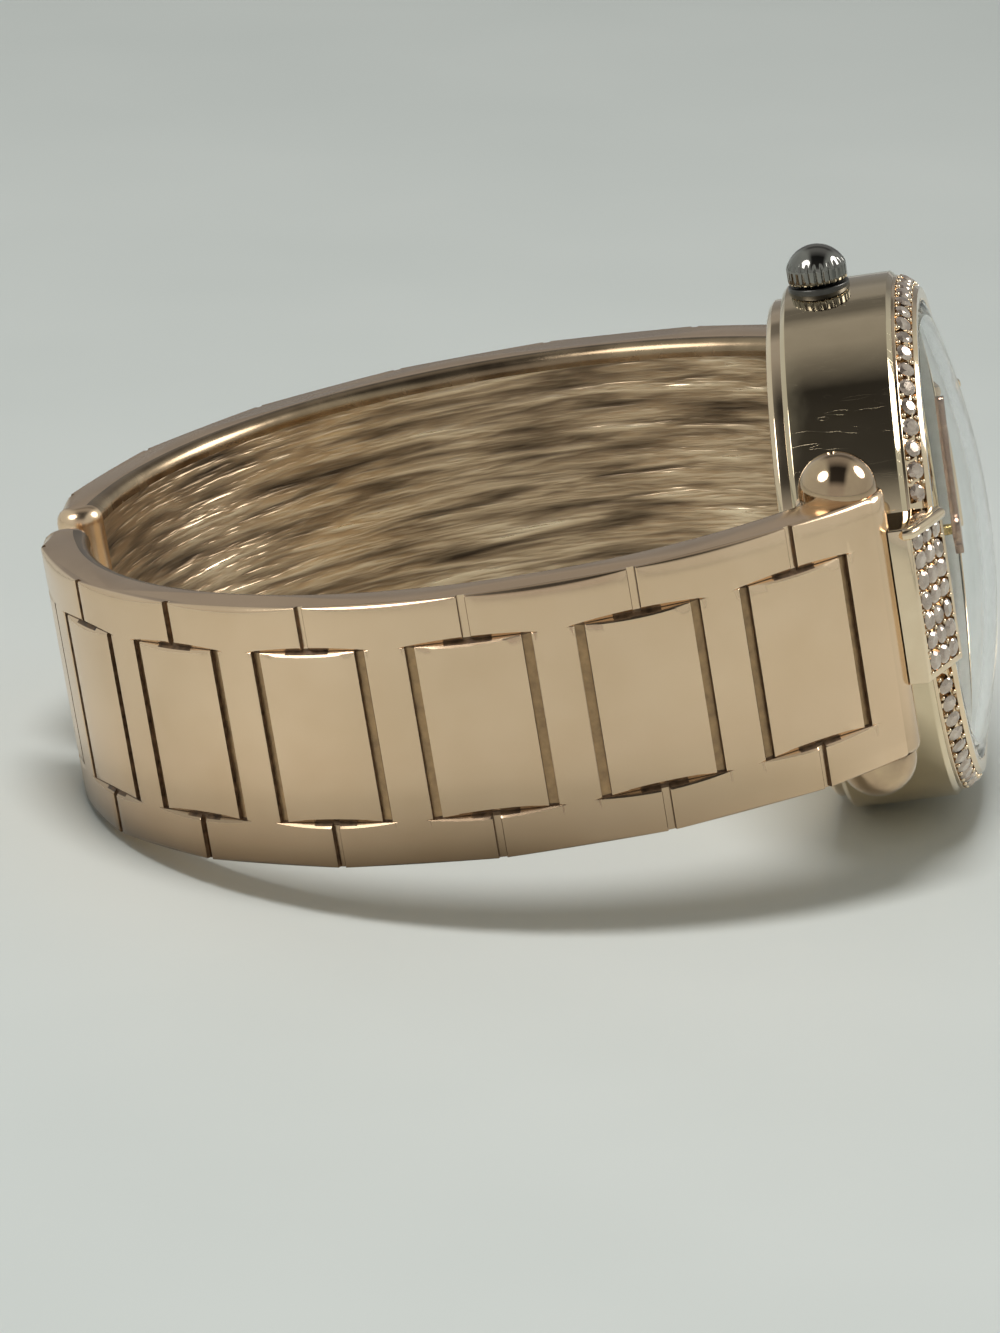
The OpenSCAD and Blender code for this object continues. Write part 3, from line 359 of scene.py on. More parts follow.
def mineral_glass():
    """Coated mineral glass, polished: so little gloss that it all but goes against the pale
    table, as in the photograph"""
    material, tree, surface = finish("mineral_glass_coated", IOR=1.05)
    surface.inputs["Transmission Weight"].default_value = 1.0
    wear(tree, surface, 3, (0.0, 0.01), ("#F9FBFA", "#FFFFFF"), 0)
    return material


def dial_lacquer():
    """Lacquered dial: cream, half dull, very finely grained"""
    material, tree, surface = finish("dial_lacquer_sprayed", Metallic=0.25)
    wear(tree, surface, 0.4, (0.3, 0.42), ("#DDD6CA", "#EDE8DE"), 0.002)
    return material


def plain_finish(name, tones, rough, metallic=0.0, grain_mm=0.6, bump_mm=0.004):
    """A plain finish, whose tone and gloss drift over grain_mm"""
    material, tree, surface = finish(name, Metallic=metallic)
    wear(tree, surface, grain_mm, rough, tones, bump_mm)
    return material


FINISH = {
    "plate": rose_gold_plate(),
    "arm": rose_gold_arm_plate(),
    "bright": rose_gold_edge(),
    "groove": groove_painted_shade(),
    "floor": groove_floor(),
    "flank": flank_polish(),
    "inside": inner_streaks(),
    "stone": rhinestone(),
    "glass": mineral_glass(),
    "dial": dial_lacquer(),
    # stainless steel, polished: a clear, dark grey mirror
    "crown": bare_steel("stainless_steel_polished", ("#7B7974", "#918E87"), (0.05, 0.09), 0.002),
    # stainless steel, turned: darker, its fine tool marks seen as one broad sheen
    "collar": bare_steel("stainless_steel_turned", ("#4E4C49", "#605E5A"), (0.26, 0.34), 0.003),
    # spring steel, drawn: bluish grey, half dull
    "spring": bare_steel("spring_steel_drawn", ("#85878A", "#9A9C9F"), (0.25, 0.35), 0.004),
    # plating on the rims of the arms' insides, rubbed thin: brown, half dull
    "margin": plain_finish("rose_gold_plate_rim_dull", ("#8C7860", "#AC967A"), (0.2, 0.3), 1.0, 3),
    # plating on the balls, painted browner and darker than on the arms as a painted reflection of a
    # dark room; still a mirror
    "ball": plain_finish("rose_gold_plate_balls_painted_dark", ("#B79C80", "#CFB492"), (0.07, 0.12), 1.0,
                         2, 0.003),
    # plated hands, satin: pinkish brown with soft highlights
    "hand": plain_finish("rose_gold_plate_hands", ("#A08370", "#BC9F88"), (0.2, 0.28), 1.0),
    # nitrile rubber, moulded: black and dull
    "rubber": plain_finish("nitrile_rubber_moulded", ("#1B1B1B", "#262626"), (0.55, 0.7)),
    # nylon, moulded: whitish, with a faint sheen
    "gasket": plain_finish("nylon_gasket_moulded", ("#D9D8D2", "#E4E3DE"), (0.4, 0.5)),
    # acetal, moulded: cream, with a faint sheen
    "ring": plain_finish("acetal_moulded", ("#DEDAD0", "#E9E6DE"), (0.38, 0.5)),
    # brass, stamped and gilt: warm yellow, fine-grained
    "brass": plain_finish("brass_stamped_gilt", ("#BFA667", "#D0B97C"), (0.22, 0.34), 1.0, 0.3),
    # nickel plate, satin: pale grey with soft highlights
    "nickel": plain_finish("nickel_plate_satin", ("#BDBDBA", "#CFCFCC"), (0.24, 0.36), 1.0, 0.3),
    # solder mask on glass-fibre board: green, smooth, half dull
    "board": plain_finish("circuit_board_green_mask", ("#235237", "#2F6B45"), (0.3, 0.42)),
    # enamelled copper wire, wound: red-brown, fine-grained, a soft gloss
    "copper": plain_finish("enamelled_copper_wound", ("#9A5224", "#BE7034"), (0.25, 0.4), 0.8,
                           0.1),
    # sintered magnet, ground: dark grey, dull, slightly grainy
    "magnet": plain_finish("sintered_magnet", ("#4C4E52", "#63656A"), (0.4, 0.55), 0.7),
    # laminate, matt: pale, with no clear reflection
    "table": plain_finish("tabletop_matt_laminate", ("#DDE1DC", "#E3E6E1"), (0.5, 0.6), 0.0, 60, 0),
}


# Shapes

CORNER_STEPS = 4


def rounded(points, radii):
    """An outline with rounded corners: one radius per corner, in mm"""
    out = []
    for i, radius in enumerate(radii):
        corner = Vector(points[i])
        if radius <= 0:
            out.append(corner)
            continue
        before = Vector(points[i - 1]) - corner
        after = Vector(points[(i + 1) % len(points)]) - corner
        half = before.angle(after) / 2
        reach = min(radius / math.tan(half), before.length * 0.49, after.length * 0.49)
        start, end = corner + before.normalized() * reach, corner + after.normalized() * reach
        middle = (before.normalized() + after.normalized()).normalized()
        centre = corner + middle * reach / math.cos(half)
        a0 = math.atan2(*(start - centre).yx)
        turn = (math.atan2(*(end - centre).yx) - a0 + math.pi) % (2 * math.pi) - math.pi
        size = (start - centre).length
        out += [centre + size * Vector((math.cos(a0 + turn * k / CORNER_STEPS),
                                        math.sin(a0 + turn * k / CORNER_STEPS)))
                for k in range(CORNER_STEPS + 1)]
    return out


def arc(centre, radius, a0, a1, steps):
    """Points along an arc, angles in radians"""
    return [Vector((centre[0] + radius * math.cos(a0 + (a1 - a0) * k / steps),
                    centre[1] + radius * math.sin(a0 + (a1 - a0) * k / steps)))
            for k in range(steps + 1)]


def circle(centre, radius, steps):
    """Points round a circle"""
    return arc(centre, radius, 0, 2 * math.pi, steps)[:-1]


def lathe(outline, steps, swell=None):
    """Turns a closed (radius, height) outline round Z; swell(radius, height, angle) may
    change a point's radius"""
    bm = bmesh.new()
    uv = bm.loops.layers.uv.new("mm")
    rings = []
    for i in range(steps):
        angle = 2 * math.pi * i / steps
        rings.append([bm.verts.new((r * math.cos(angle), r * math.sin(angle), z))
                      for r, z in ((swell(p[0], p[1], angle) if swell else p[0], p[1])
                                   for p in outline)])
    for i in range(steps):
        for j in range(len(outline)):
            k = (j + 1) % len(outline)
            if outline[j][0] < 1e-6 and outline[k][0] < 1e-6:
                continue
            here, there = rings[i], rings[(i + 1) % steps]
            face = bm.faces.new((here[j], there[j], there[k], here[k]))
            for loop, turn, p in zip(face.loops, (i, i + 1, i + 1, i),
                                     (outline[j], outline[j], outline[k], outline[k])):
                loop[uv].uv = (2 * math.pi * turn / steps * max(p[0], 0.5), p[1])
    bmesh.ops.remove_doubles(bm, verts=bm.verts, dist=1e-5)
    bmesh.ops.recalc_face_normals(bm, faces=bm.faces)
    return bm


def bar(outline, x0, x1):
    """A straight bar along X with a closed (y, z) outline"""
    bm = bmesh.new()
    ends = [[bm.verts.new((x, p[0], p[1])) for p in outline] for x in (x0, x1)]
    bm.faces.new(ends[0])
    bm.faces.new(ends[1])
    for j in range(len(outline)):
        k = (j + 1) % len(outline)
        bm.faces.new((ends[0][j], ends[0][k], ends[1][k], ends[1][j]))
    bmesh.ops.recalc_face_normals(bm, faces=bm.faces)
    return bm


def shape(bm, finishes=(), name="shape"):
    """An object from a bmesh, with its finishes; an unnamed one is scratch, in millimetres"""
    mesh = bpy.data.meshes.new(name)
    bm.to_mesh(mesh)
    bm.free()
    for key in finishes:
        mesh.materials.append(FINISH[key])
    obj = bpy.data.objects.new(name, mesh)
    bpy.context.scene.collection.objects.link(obj)
    return obj


def taken(obj):
    """A scratch object's bmesh; the object goes"""
    bm = bmesh.new()
    bm.from_mesh(obj.data)
    bpy.data.objects.remove(obj)
    return bm


def worked(obj, steps):
    """Applies modifiers, given as (kind, settings), to a scratch object"""
    used = []
    for kind, settings in steps:
        modifier = obj.modifiers.new(kind.lower(), kind)
        for name, value in settings.items():
            setattr(modifier, name, value)
        if "object" in settings:
            used.append(settings["object"])
    bpy.context.view_layer.update()
    depsgraph = bpy.context.evaluated_depsgraph_get()
    mesh = bpy.data.meshes.new_from_object(obj.evaluated_get(depsgraph))
    obj.modifiers.clear()
    obj.data = mesh
    for tool in used:
        bpy.data.objects.remove(tool)
    return obj


def cut(obj, *tools):
    """Takes tools, given as bmeshes, away from a scratch object"""
    return worked(obj, [("BOOLEAN", {"operation": "DIFFERENCE", "solver": "EXACT",
                                     "object": shape(tool)}) for tool in tools])


def join(obj, *others):
    """Makes one solid of a scratch object and others, given as bmeshes"""
    return worked(obj, [("BOOLEAN", {"operation": "UNION", "solver": "EXACT",
                                     "object": shape(other)}) for other in others])


def moved(bm, matrix):
    """The bmesh, moved; faces are turned back outwards after a mirror"""
    bm.transform(matrix)
    if matrix.determinant() < 0:
        bmesh.ops.reverse_faces(bm, faces=bm.faces)
    return bm


def place(name, bm, body, finishes, node, rear=False, sharp=32):
    """Lays a piece in the part's frame, gives it its finishes and rides it on its body"""
    obj = shape(moved(bm, LAY @ REAR if rear else LAY), finishes, name)
    obj.data.shade_smooth()
    obj.data.set_sharp_from_angle(angle=math.radians(sharp))
    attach(obj, body)
    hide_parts(node)


def bead(centre):
    """A small round bead beside a stone"""
    bm = bmesh.new()
    bmesh.ops.create_uvsphere(bm, u_segments=12, v_segments=6, radius=BEAD_R,
                              matrix=Matrix.Translation(centre))
    return bm


def gather(*parts):
    """Several bmeshes as one, not joined"""
    whole = bmesh.new()
    for bm in parts:
        mesh = bpy.data.meshes.new("part")
        bm.to_mesh(mesh)
        bm.free()
        whole.from_mesh(mesh)
        bpy.data.meshes.remove(mesh)
    return whole


# Arms

# A groove's side: distance inside its edge and depth there, a worn lip and a steep wall
GROOVE_EDGE = ((-0.10, 0.0), (-0.04, 0.012), (0.0, 0.05), (0.02, GROOVE_T))
# Width of the wall at a groove's end, and how far a panel's worn face falls at its sides
END_WALL, PANEL_CROWN = 0.03, 0.05
# Where a straight cut under the round face runs out, from the panel's middle
CUT_END = BANGLE_R * math.acos(1 - END_CUT / BANGLE_R)
# Longest step along the outer face, and steps round the free end, the inside, the barrel
FACE_STEP, NOSE_STEPS, INNER_STEPS, BARREL_STEPS = 0.6, 20, 110, 48
# Lines over the long edge's bevel, from its start to its end
EDGE_STEPS = (0, 0.25, 0.5, 0.75, 1)
# The long edges were polished round: inside, and more at the free ends, over a length
INNER_ROUND, END_ROUND, END_RUN = 0.8, 0.9, 3.5
# An arm's finishes, in the order of its material slots
ARM_FINISHES = ("arm", "groove", "inside", "floor", "margin")
PLATE, GROOVE, INSIDE, FLOOR, MARGIN = range(5)


def groove_wall(inside):
    """Depth at a distance inside a groove's edge"""
    for (t0, d0), (t1, d1) in zip(GROOVE_EDGE, GROOVE_EDGE[1:]):
        if inside < t1:
            return d0 + (d1 - d0) * max(0, inside - t0) / (t1 - t0)
    return GROOVE_T


def straight_cut(depth, off):
    """Depth that a straight cutter keeps under the round face, off mm from its middle"""
    return max(0, depth - BANGLE_R * (1 - math.cos(off / BANGLE_R)))


def edge_bevel(s):
    """Depth of the bevel on a link's long edge, s mm round from the hinge line; it grows
    into the rounding of the free end"""
    off = (s - FIRST_PANEL) % PITCH - PITCH / 2
    return max(ARM_BEVEL, 0.7 * straight_cut(EDGE_CUT, off), end_rounding(ARC - s, ARM_BEVEL))


def end_rounding(away, least):
    """Rounding of the long edges, away mm from the free end"""
    share = min(1, max(0, 1 - away / END_RUN))
    return least + (END_ROUND - least) * share * share * (3 - 2 * share)


def relief(s, x):
    """Depth under the arm's outer face, s mm round and x mm across: grooves, notches, end
    cuts, and a slight crown on the panels"""
    k = min(PANELS - 1, max(0, round((s - FIRST_PANEL) / PITCH)))
    off, x = s - FIRST_PANEL - k * PITCH, abs(x)
    reach = PANEL_W / 2
    along = groove_wall(GROOVE_W / 2 - abs(abs(off) - PANEL_L / 2))
    depth = along * min(1, max(0, (reach + END_WALL - x) / END_WALL))
    notch = groove_wall(NOTCH_W / 2 - abs(off))
    depth = max(depth, notch * min(1, max(0, (x - reach + END_WALL) / END_WALL)))
    depth = max(depth, straight_cut(END_CUT, off) - abs(x - reach))
    if abs(off) < PANEL_L / 2 and x < reach:
        depth = max(depth, PANEL_CROWN * (abs(off) / (PANEL_L - GROOVE_W) * 2) ** 4)
    return depth


def link_stations():
    """Places along the outer face where a line of the mesh runs"""
    marks = {0.0, ARC}
    for k in range(PANELS):
        middle = FIRST_PANEL + k * PITCH
        for side in (-1, 1):
            for t, _ in GROOVE_EDGE:
                marks.add(middle + side * (NOTCH_W / 2 - t))
                for out in (-1, 1):
                    marks.add(middle + side * PANEL_L / 2 + out * (GROOVE_W / 2 - t))
            marks.update(middle + side * (CUT_END - 0.12 * k) for k in range(4))
    marks = sorted(m for m in marks if 0 <= m <= ARC)
    out = []
    for a, b in zip(marks, marks[1:]):
        n = max(1, math.ceil((b - a) / FACE_STEP))
        out += [a + (b - a) * i / n for i in range(n)]
    return out + [marks[-1]]


def heading(angle):
    """The direction at an angle in the arm's outline"""
    return Vector((math.cos(angle), math.sin(angle)))


def outer_columns():
    """Columns along the outer face, from the hinge line to the free end"""
    columns = []
    for s in link_stations():
        n = heading(HINGE_TURN - s / BANGLE_R)
        columns.append((Vector((0, BANGLE_Z)) + BANGLE_R * n, n, s, edge_bevel(s), 0.8, "face"))
    return columns


def nose_columns(nose):
    """Columns round the rounded free end"""
    columns = []
    for k in range(1, NOSE_STEPS):
        n = heading(-NOSE_TURN - math.pi * k / NOSE_STEPS)
        columns.append((nose + NOSE_T / 2 * n, n, ARC + k * 0.22, END_ROUND, 1, "nose"))
    return columns


def barrel_meet():
    """Angle round the hinge at which the barrel meets the arm's inside"""
    towards = Vector((0, INNER_Z)) - Vector((HINGE_Y, HINGE_Z))
    meet = math.acos((towards.length ** 2 + BARREL_R ** 2 - INNER_R ** 2)
                     / (2 * towards.length * BARREL_R))
    return math.atan2(towards.y, towards.x) + meet


def inner_columns(nose, turn):
    """Columns along the inside, from the free end to the barrel"""
    low = math.atan2(nose.y - NOSE_T / 2 * math.sin(-NOSE_TURN) - INNER_Z,
                     nose.x - NOSE_T / 2 * math.cos(-NOSE_TURN))
    end = Vector((HINGE_Y, HINGE_Z)) + BARREL_R * heading(turn) - Vector((0, INNER_Z))
    high = math.atan2(end.y, end.x)
    columns = []
    for k in range(INNER_STEPS + 1):
        a = low + (high - low) * k / INNER_STEPS
        n, s = heading(a), (a - low) * INNER_R
        columns.append((Vector((0, INNER_Z)) + INNER_R * n, -n, s, end_rounding(s, INNER_ROUND),
                        1, "inside"))
    return columns


def barrel_columns(turn):
    """Columns round the barrel, from the inside back to the outer face"""
    last = HINGE_TURN - 2 * math.pi
    turn = turn if turn < 0 else turn - 2 * math.pi
    columns = []
    for k in range(1, BARREL_STEPS):
        n = heading(turn + (last - turn) * k / BARREL_STEPS)
        roundness = min(1, k / 3, (BARREL_STEPS - k) / 5)
        columns.append((Vector((HINGE_Y, HINGE_Z)) + BARREL_R * n, n, k * 0.2, 0.4, roundness,
                        "barrel"))
    return columns


def arm_columns():
    """The arm's outline, column by column: point, outward direction, length round, edge bevel
    and its roundness, and the part of the outline that the point is on"""
    nose = Vector((NOSE_AT * math.cos(-NOSE_TURN), BANGLE_Z + NOSE_AT * math.sin(-NOSE_TURN)))
    turn = barrel_meet()
    return outer_columns() + nose_columns(nose) + inner_columns(nose, turn) + barrel_columns(turn)


def arm_lines(s, bevel, roundness):
    """Places across the arm, from its middle to its edge, and the bevel's offset there"""
    reach = PANEL_W / 2
    off = (s - FIRST_PANEL + PITCH / 2) % PITCH - PITCH / 2
    cut_reach = min(0.4, max(0.05, straight_cut(END_CUT, off)))
    # the lines at six tenths of an end cut's reach bound its deepest part, which takes the painted
    # shade
    flat = [0.0, 1.3, 2.6, 3.8, 4.5, reach - cut_reach, reach - cut_reach * 0.6,
            reach - END_WALL, reach, reach + END_WALL, reach + max(0.04, cut_reach * 0.6),
            reach + max(0.05, cut_reach), 6.0, 6.8]
    lines = [(x, 0.0) for x in flat]
    for t in EDGE_STEPS:
        straight = (ARM_HALF - bevel + bevel * t, bevel * t)
        curve = (ARM_HALF - bevel + bevel * math.sin(t * math.pi / 2),
                 bevel * (1 - math.cos(t * math.pi / 2)))
        lines.append(tuple(a + (b - a) * roundness for a, b in zip(straight, curve)))
    return lines


def half_x(face):
    """How far a face's middle is from the arm's middle line"""
    return abs(face.calc_center_median().x)


def groove_finish(depths, x):
    """Finish of a face under the outer surface, x mm across: painted shade on the walls, deep
    corners and end cuts' creases, dull floors round the panels; the notches' floors are as bright
    as the plate"""
    if min(depths) > GROOVE_T * 0.9 and abs(x - PANEL_W / 2) > 0.12:
        return FLOOR if x < PANEL_W / 2 else PLATE
    return GROOVE if max(depths) - min(depths) > 0.2 or min(depths) > 0.1 else PLATE


def face_finish(where, line, lines, depths, x):
    """Finish of one face of the arm: line is its place among the lines across the arm"""
    if where == "face":
        return groove_finish(depths, x)
    if where == "inside":
        edge = len(EDGE_STEPS)
        return INSIDE if edge <= line < lines - 1 - edge else MARGIN
    return PLATE


def arm_grid(bm, columns):
    """Points of the arm's surface, column by column, and how deep each is cut"""
    grid, depths = [], []
    for point, out, s, bevel, roundness, where in columns:
        half = arm_lines(s, bevel, roundness)
        lines = [(-x, offset) for x, offset in reversed(half[1:])] + half
        sunk = [relief(s, x) if where == "face" else 0 for x, _ in lines]
        spots = [point - max(offset, depth) * out for (_, offset), depth in zip(lines, sunk)]
        grid.append([bm.verts.new((x, spot.x, spot.y)) for (x, _), spot in zip(lines, spots)])
        depths.append(sunk)
    return grid, depths


def arm_solid():
    """The whole arm before the hinge's pocket is cut"""
    bm = bmesh.new()
    uv = bm.loops.layers.uv.new("mm")
    columns = arm_columns()
    grid, depths = arm_grid(bm, columns)
    count, lines = len(grid), len(grid[0])
    for i in range(count):
        k = (i + 1) % count
        s, where = columns[i][2], columns[i][5]
        s_next = columns[k][2] if k and columns[k][5] == where else s + 0.2
        for j in range(lines - 1):
            face = bm.faces.new((grid[i][j], grid[i][j + 1], grid[k][j + 1], grid[k][j]))
            around = (depths[i][j], depths[i][j + 1], depths[k][j + 1], depths[k][j])
            face.material_index = face_finish(where, j, lines, around, half_x(face))
            for loop, u in zip(face.loops, (s, s, s_next, s_next)):
                loop[uv].uv = (u, loop.vert.co.x)
    for edge in (0, lines - 1):
        bm.faces.new([row[edge] for row in grid])
    bmesh.ops.remove_doubles(bm, verts=bm.verts, dist=1e-6)
    bmesh.ops.recalc_face_normals(bm, faces=bm.faces)
    return bm


def build_arm(side, rear):
    """Arm with its panels, barrel and rounded end, and the pocket for the end link"""
    pocket = TONGUE_R + POCKET_GAP
    half = LINK_W / 2 + SWING
    low, high, inwards = HINGE_Z - pocket * 0.85, HINGE_Z + BARREL_R + 1, HINGE_Y - 8
    room = circle((HINGE_Y, HINGE_Z), pocket, 64)
    slot = [(inwards, low), (HINGE_Y, low), (HINGE_Y, high), (inwards, high)]
    solid = cut(shape(arm_solid(), ARM_FINISHES),
                *[bar(tool, LINK_SHIFT - half, LINK_SHIFT + half) for tool in (room, slot)])
    place("arm_" + side + "_body", taken(solid), "arm_" + side, ARM_FINISHES,
          node="arm_" + side, rear=rear)


def build_hinge_balls(side, rear):
    """Polished ball ends of the hinge pin, each with a small centre mark in its pole"""
    centre = ARM_HALF + BALL_OFF
    flat = math.asin(BALL_OFF / BALL_R)
    curve = arc((0, centre), BALL_R, -flat, math.radians(80), 26)
    pole = centre + BALL_R
    mark = [Vector((0.3, pole - 0.03)), Vector((0.22, pole - 0.16)), Vector((0, pole - 0.2))]
    outline = [Vector((0, ARM_HALF))] + curve + mark
    to_pin = Matrix.Translation((0, HINGE_Y, HINGE_Z)) @ Matrix.Rotation(math.pi / 2, 4, "Y")
    halves = [moved(lathe(outline, 64), Matrix.Diagonal((flip, 1, 1, 1)) @ to_pin)
              for flip in (1, -1)]
    place("hinge_balls_" + side + "_polished", gather(*halves), "arm_" + side, ("ball",),
          node="hinge_balls_" + side, rear=rear, sharp=40)


# Stones

def brilliant(d, spin):
    """Round brilliant: table, star, kite and girdle facets over a plain pavilion"""
    bm = bmesh.new()
    r = d / 2

    def ring(count, radius, z, turn):
        return [bm.verts.new((radius * math.cos(spin + turn + 2 * math.pi * i / count),
                              radius * math.sin(spin + turn + 2 * math.pi * i / count), z))
                for i in range(count)]

    # each ring's radius is a share of r, and its height a share of d
    table = ring(8, 0.56 * r, 0.17 * d, 0)
    star = ring(8, 0.8 * r, 0.105 * d, math.pi / 8)
    girdle = ring(16, r * 0.99, 0.02, 0)
    bottom = ring(8, 0.28 * r, -PAVILION * d + 0.01, 0)
    bm.faces.new(table)
    bm.faces.new(bottom[::-1])
    for i in range(8):
        k = (i + 1) % 8
        bm.faces.new((table[i], star[i], table[k]))
        bm.faces.new((table[i], star[i - 1], girdle[2 * i], star[i]))
        bm.faces.new((star[i], girdle[2 * i], girdle[2 * i + 1]))
        bm.faces.new((star[i], girdle[2 * i + 1], girdle[(2 * i + 2) % 16]))
        bm.faces.new((girdle[2 * i], bottom[i], bottom[k], girdle[(2 * i + 2) % 16],
                      girdle[2 * i + 1]))
    bmesh.ops.recalc_face_normals(bm, faces=bm.faces)
    return bm


def tip(dice):
    """A small lean each way, as stones set by hand have"""
    most = 0.15
    return (Matrix.Rotation(dice.uniform(-most, most), 4, "X")
            @ Matrix.Rotation(dice.uniform(-most, most), 4, "Y"))


def bezel_open(turn):
    """Whether the bezel's channel is open at an angle: the end links lie over the rest"""
    return abs(SLOPE_MID.x * math.cos(turn) - LINK_SHIFT) > LINK_W / 2 + BEZEL_STONE / 2


def build_bezel_stones():
    """The ring of stones on the bezel's slope"""
    dice = random.Random(4)
    lean = Matrix.Rotation(math.pi / 2 - SLOPE_ANGLE, 4, "Y")
    depth = PAVILION * BEZEL_STONE - BEZEL_SEAT + STONE_CLEAR
    stones = []
    for i in range(BEZEL_COUNT):
        if not bezel_open(2 * math.pi * i / BEZEL_COUNT):
            continue
        turn = Matrix.Rotation(2 * math.pi * i / BEZEL_COUNT, 4, "Z")
        at = Matrix.Translation((SLOPE_MID.x, 0, SLOPE_MID.y))
        stones.append(moved(brilliant(BEZEL_STONE, dice.uniform(0, 1)),
                            turn @ at @ lean @ Matrix.Translation((0, 0, depth)) @ tip(dice)))
    place("bezel_stones_cut", gather(*stones), "head", ("stone",), node="bezel_stones",
          sharp=1)


def link_frame():
    """Frame on the sloped face of an end link: X along the hinge, -Y up to the bezel"""
    return (Matrix.Translation((LINK_SHIFT, LINK_EDGE_Y, LINK_LOW_Z))
            @ Matrix.Rotation(-LINK_SLOPE, 4, "X") @ Matrix.Translation((0, -LINK_FACE / 2, 0)))


def build_link_stones(side, rear):
    """The stones in an end link's recess"""
    dice = random.Random(9)
    depth = PAVILION * LINK_STONE - TRAY_T + STONE_CLEAR
    stones = []
    for row in range(LINK_ROWS):
        for col in range(LINK_COLS):
            at = Matrix.Translation(((row - (LINK_ROWS - 1) / 2) * LINK_PITCH,
                                     (col - (LINK_COLS - 1) / 2) * LINK_PITCH, depth))
            stones.append(moved(brilliant(LINK_STONE, dice.uniform(0, 1)),
                                link_frame() @ at @ tip(dice)))
    place("link_stones_" + side + "_cut", gather(*stones), "head", ("stone",),
          node="link_stones_" + side, rear=rear, sharp=1)


# Head

def build_case():
    """Mid-case: turned flank between two bevelled rims"""
    gasket = CASE_R - GASKET_WALL
    outline = rounded([(gasket, 0), (CASE_R - RIM, 0), (CASE_R, RIM), (CASE_R, CASE_H - RIM),
                       (CASE_R - RIM, CASE_H), (LIP_R, CASE_H), (LIP_R, DIAL_TOP),
                       (BORE_R, DIAL_TOP), (BORE_R, 0.3), (gasket, 0.3)],
                      [0.05, 0.1, 0.1, 0.1, 0.1, 0.03, 0.03, 0.03, 0.03, 0.03])
    place("mid_case_turned", lathe(outline, 256), "head", ("flank",), node="case_body")


def build_case_back():
    """Snap-on back: plated like the case, with the ring that snaps in"""
    wall, ring_high = 0.6, 0.9
    edge, floor = CASE_R - BACK_INSET, wall - BACK_H
    outer, inner = BORE_R - 0.02, BORE_R - 0.8
    outline = rounded([(0, -BACK_H), (edge - RIM, -BACK_H), (edge, RIM - BACK_H), (edge, 0),
                       (outer, 0), (outer, ring_high), (inner, ring_high), (inner, floor),
                       (0, floor)],
                      [0, 0.15, 0.15, 0, 0, 0.05, 0.05, 0.05, 0])
    place("case_back_polished", lathe(outline, 256), "head", ("bright",), node="case_back")


def bezel_beads():
    """Raised beads that hold the stones, two on each side of every gap"""
    along = (SLOPE_HIGH - SLOPE_LOW).normalized()
    beads = []
    for i in range(BEZEL_COUNT):
        a = 2 * math.pi * (i + 0.5) / BEZEL_COUNT
        if not bezel_open(a):
            continue
        for side in (-1, 1):
            p = SLOPE_MID + along * side * BEAD_OFF
            beads.append(bead((p.x * math.cos(a), p.x * math.sin(a), p.y)))
    return beads


def build_bezel():
    """Bezel: two polished rims, the stone channel between them, and its beads"""
    half = BEZEL_STONE / 2 + STONE_CLEAR
    along = (SLOPE_HIGH - SLOPE_LOW).normalized()
    inward = Vector((-math.cos(SLOPE_ANGLE), -math.sin(SLOPE_ANGLE)))
    low, high = SLOPE_MID - along * half, SLOPE_MID + along * half
    outline = rounded([(CASE_R - RIM, CASE_H), SLOPE_LOW, low, low + inward * BEZEL_SEAT,
                       high + inward * BEZEL_SEAT, high, SLOPE_HIGH,
                       (SLOPE_HIGH.x - 0.15, BEZEL_TOP), (CRYSTAL_R + 0.15, BEZEL_TOP),
                       (CRYSTAL_R + 0.02, BEZEL_TOP - 0.15), (CRYSTAL_R + 0.02, BEZEL_TOP - 0.4),
                       (CRYSTAL_R + 0.4, BEZEL_TOP - 0.4), (CRYSTAL_R + 0.4, CASE_H)],
                      [0, 0.06, 0.05, 0.02, 0.02, 0.05, 0.06, 0.06, 0.06, 0.05, 0, 0, 0])
    place("bezel_polished", gather(lathe(outline, 256), *bezel_beads()), "head", ("bright",),
          node="bezel")


def build_crystal():
    """Domed crystal with a ground edge"""
    r, under = CRYSTAL_R - 0.02, DOME_R - CRYSTAL_T
    outer, inner = math.acos(r / DOME_R), math.acos(LIP_R / under)
    outline = (arc((0, DOME_Z), DOME_R, math.pi / 2, outer, 40)
               + [Vector((r, CASE_H + 0.02)), Vector((LIP_R, CASE_H + 0.02))]
               + arc((0, DOME_Z), under, inner, math.pi / 2, 40))
    outline[0].x = outline[-1].x = 0
    place("crystal_domed", lathe(outline, 192), "head", ("glass",), node="crystal",
          sharp=25)


def hand_outline(length, tail, width, hub):
    """Outline of a straight hand with a round hub, along +X"""
    w = width / 2
    reach = math.asin(w / hub)
    return (arc((0, 0), hub, reach, math.pi - reach, 16) + [Vector((-tail, w)), Vector((-tail, -w))]
            + arc((0, 0), hub, math.pi + reach, 2 * math.pi - reach, 16)
            + arc((length - w, 0), w, -math.pi / 2, math.pi / 2, 8))


def build_hand(name, outline, thick, z, turn, hole, body):
    """A hand with bevelled edges and the hole for its post"""
    upright = Matrix(((0, 1, 0, 0), (0, 0, 1, 0), (1, 0, 0, 0), (0, 0, 0, 1)))
    solid = worked(shape(moved(bar(outline, z, z + thick), upright)),
                   [("BEVEL", {"width": 0.06, "segments": 2, "limit_method": "ANGLE",
                               "angle_limit": math.radians(60)})])
    solid = cut(solid, moved(bar(circle((0, 0), hole, 32), z - 1, z + 1), upright))
    solid.data.transform(Matrix.Rotation(math.pi / 2 - turn, 4, "Z"))
    place(name + "_bevelled", taken(solid), body, ("hand",), node=name)


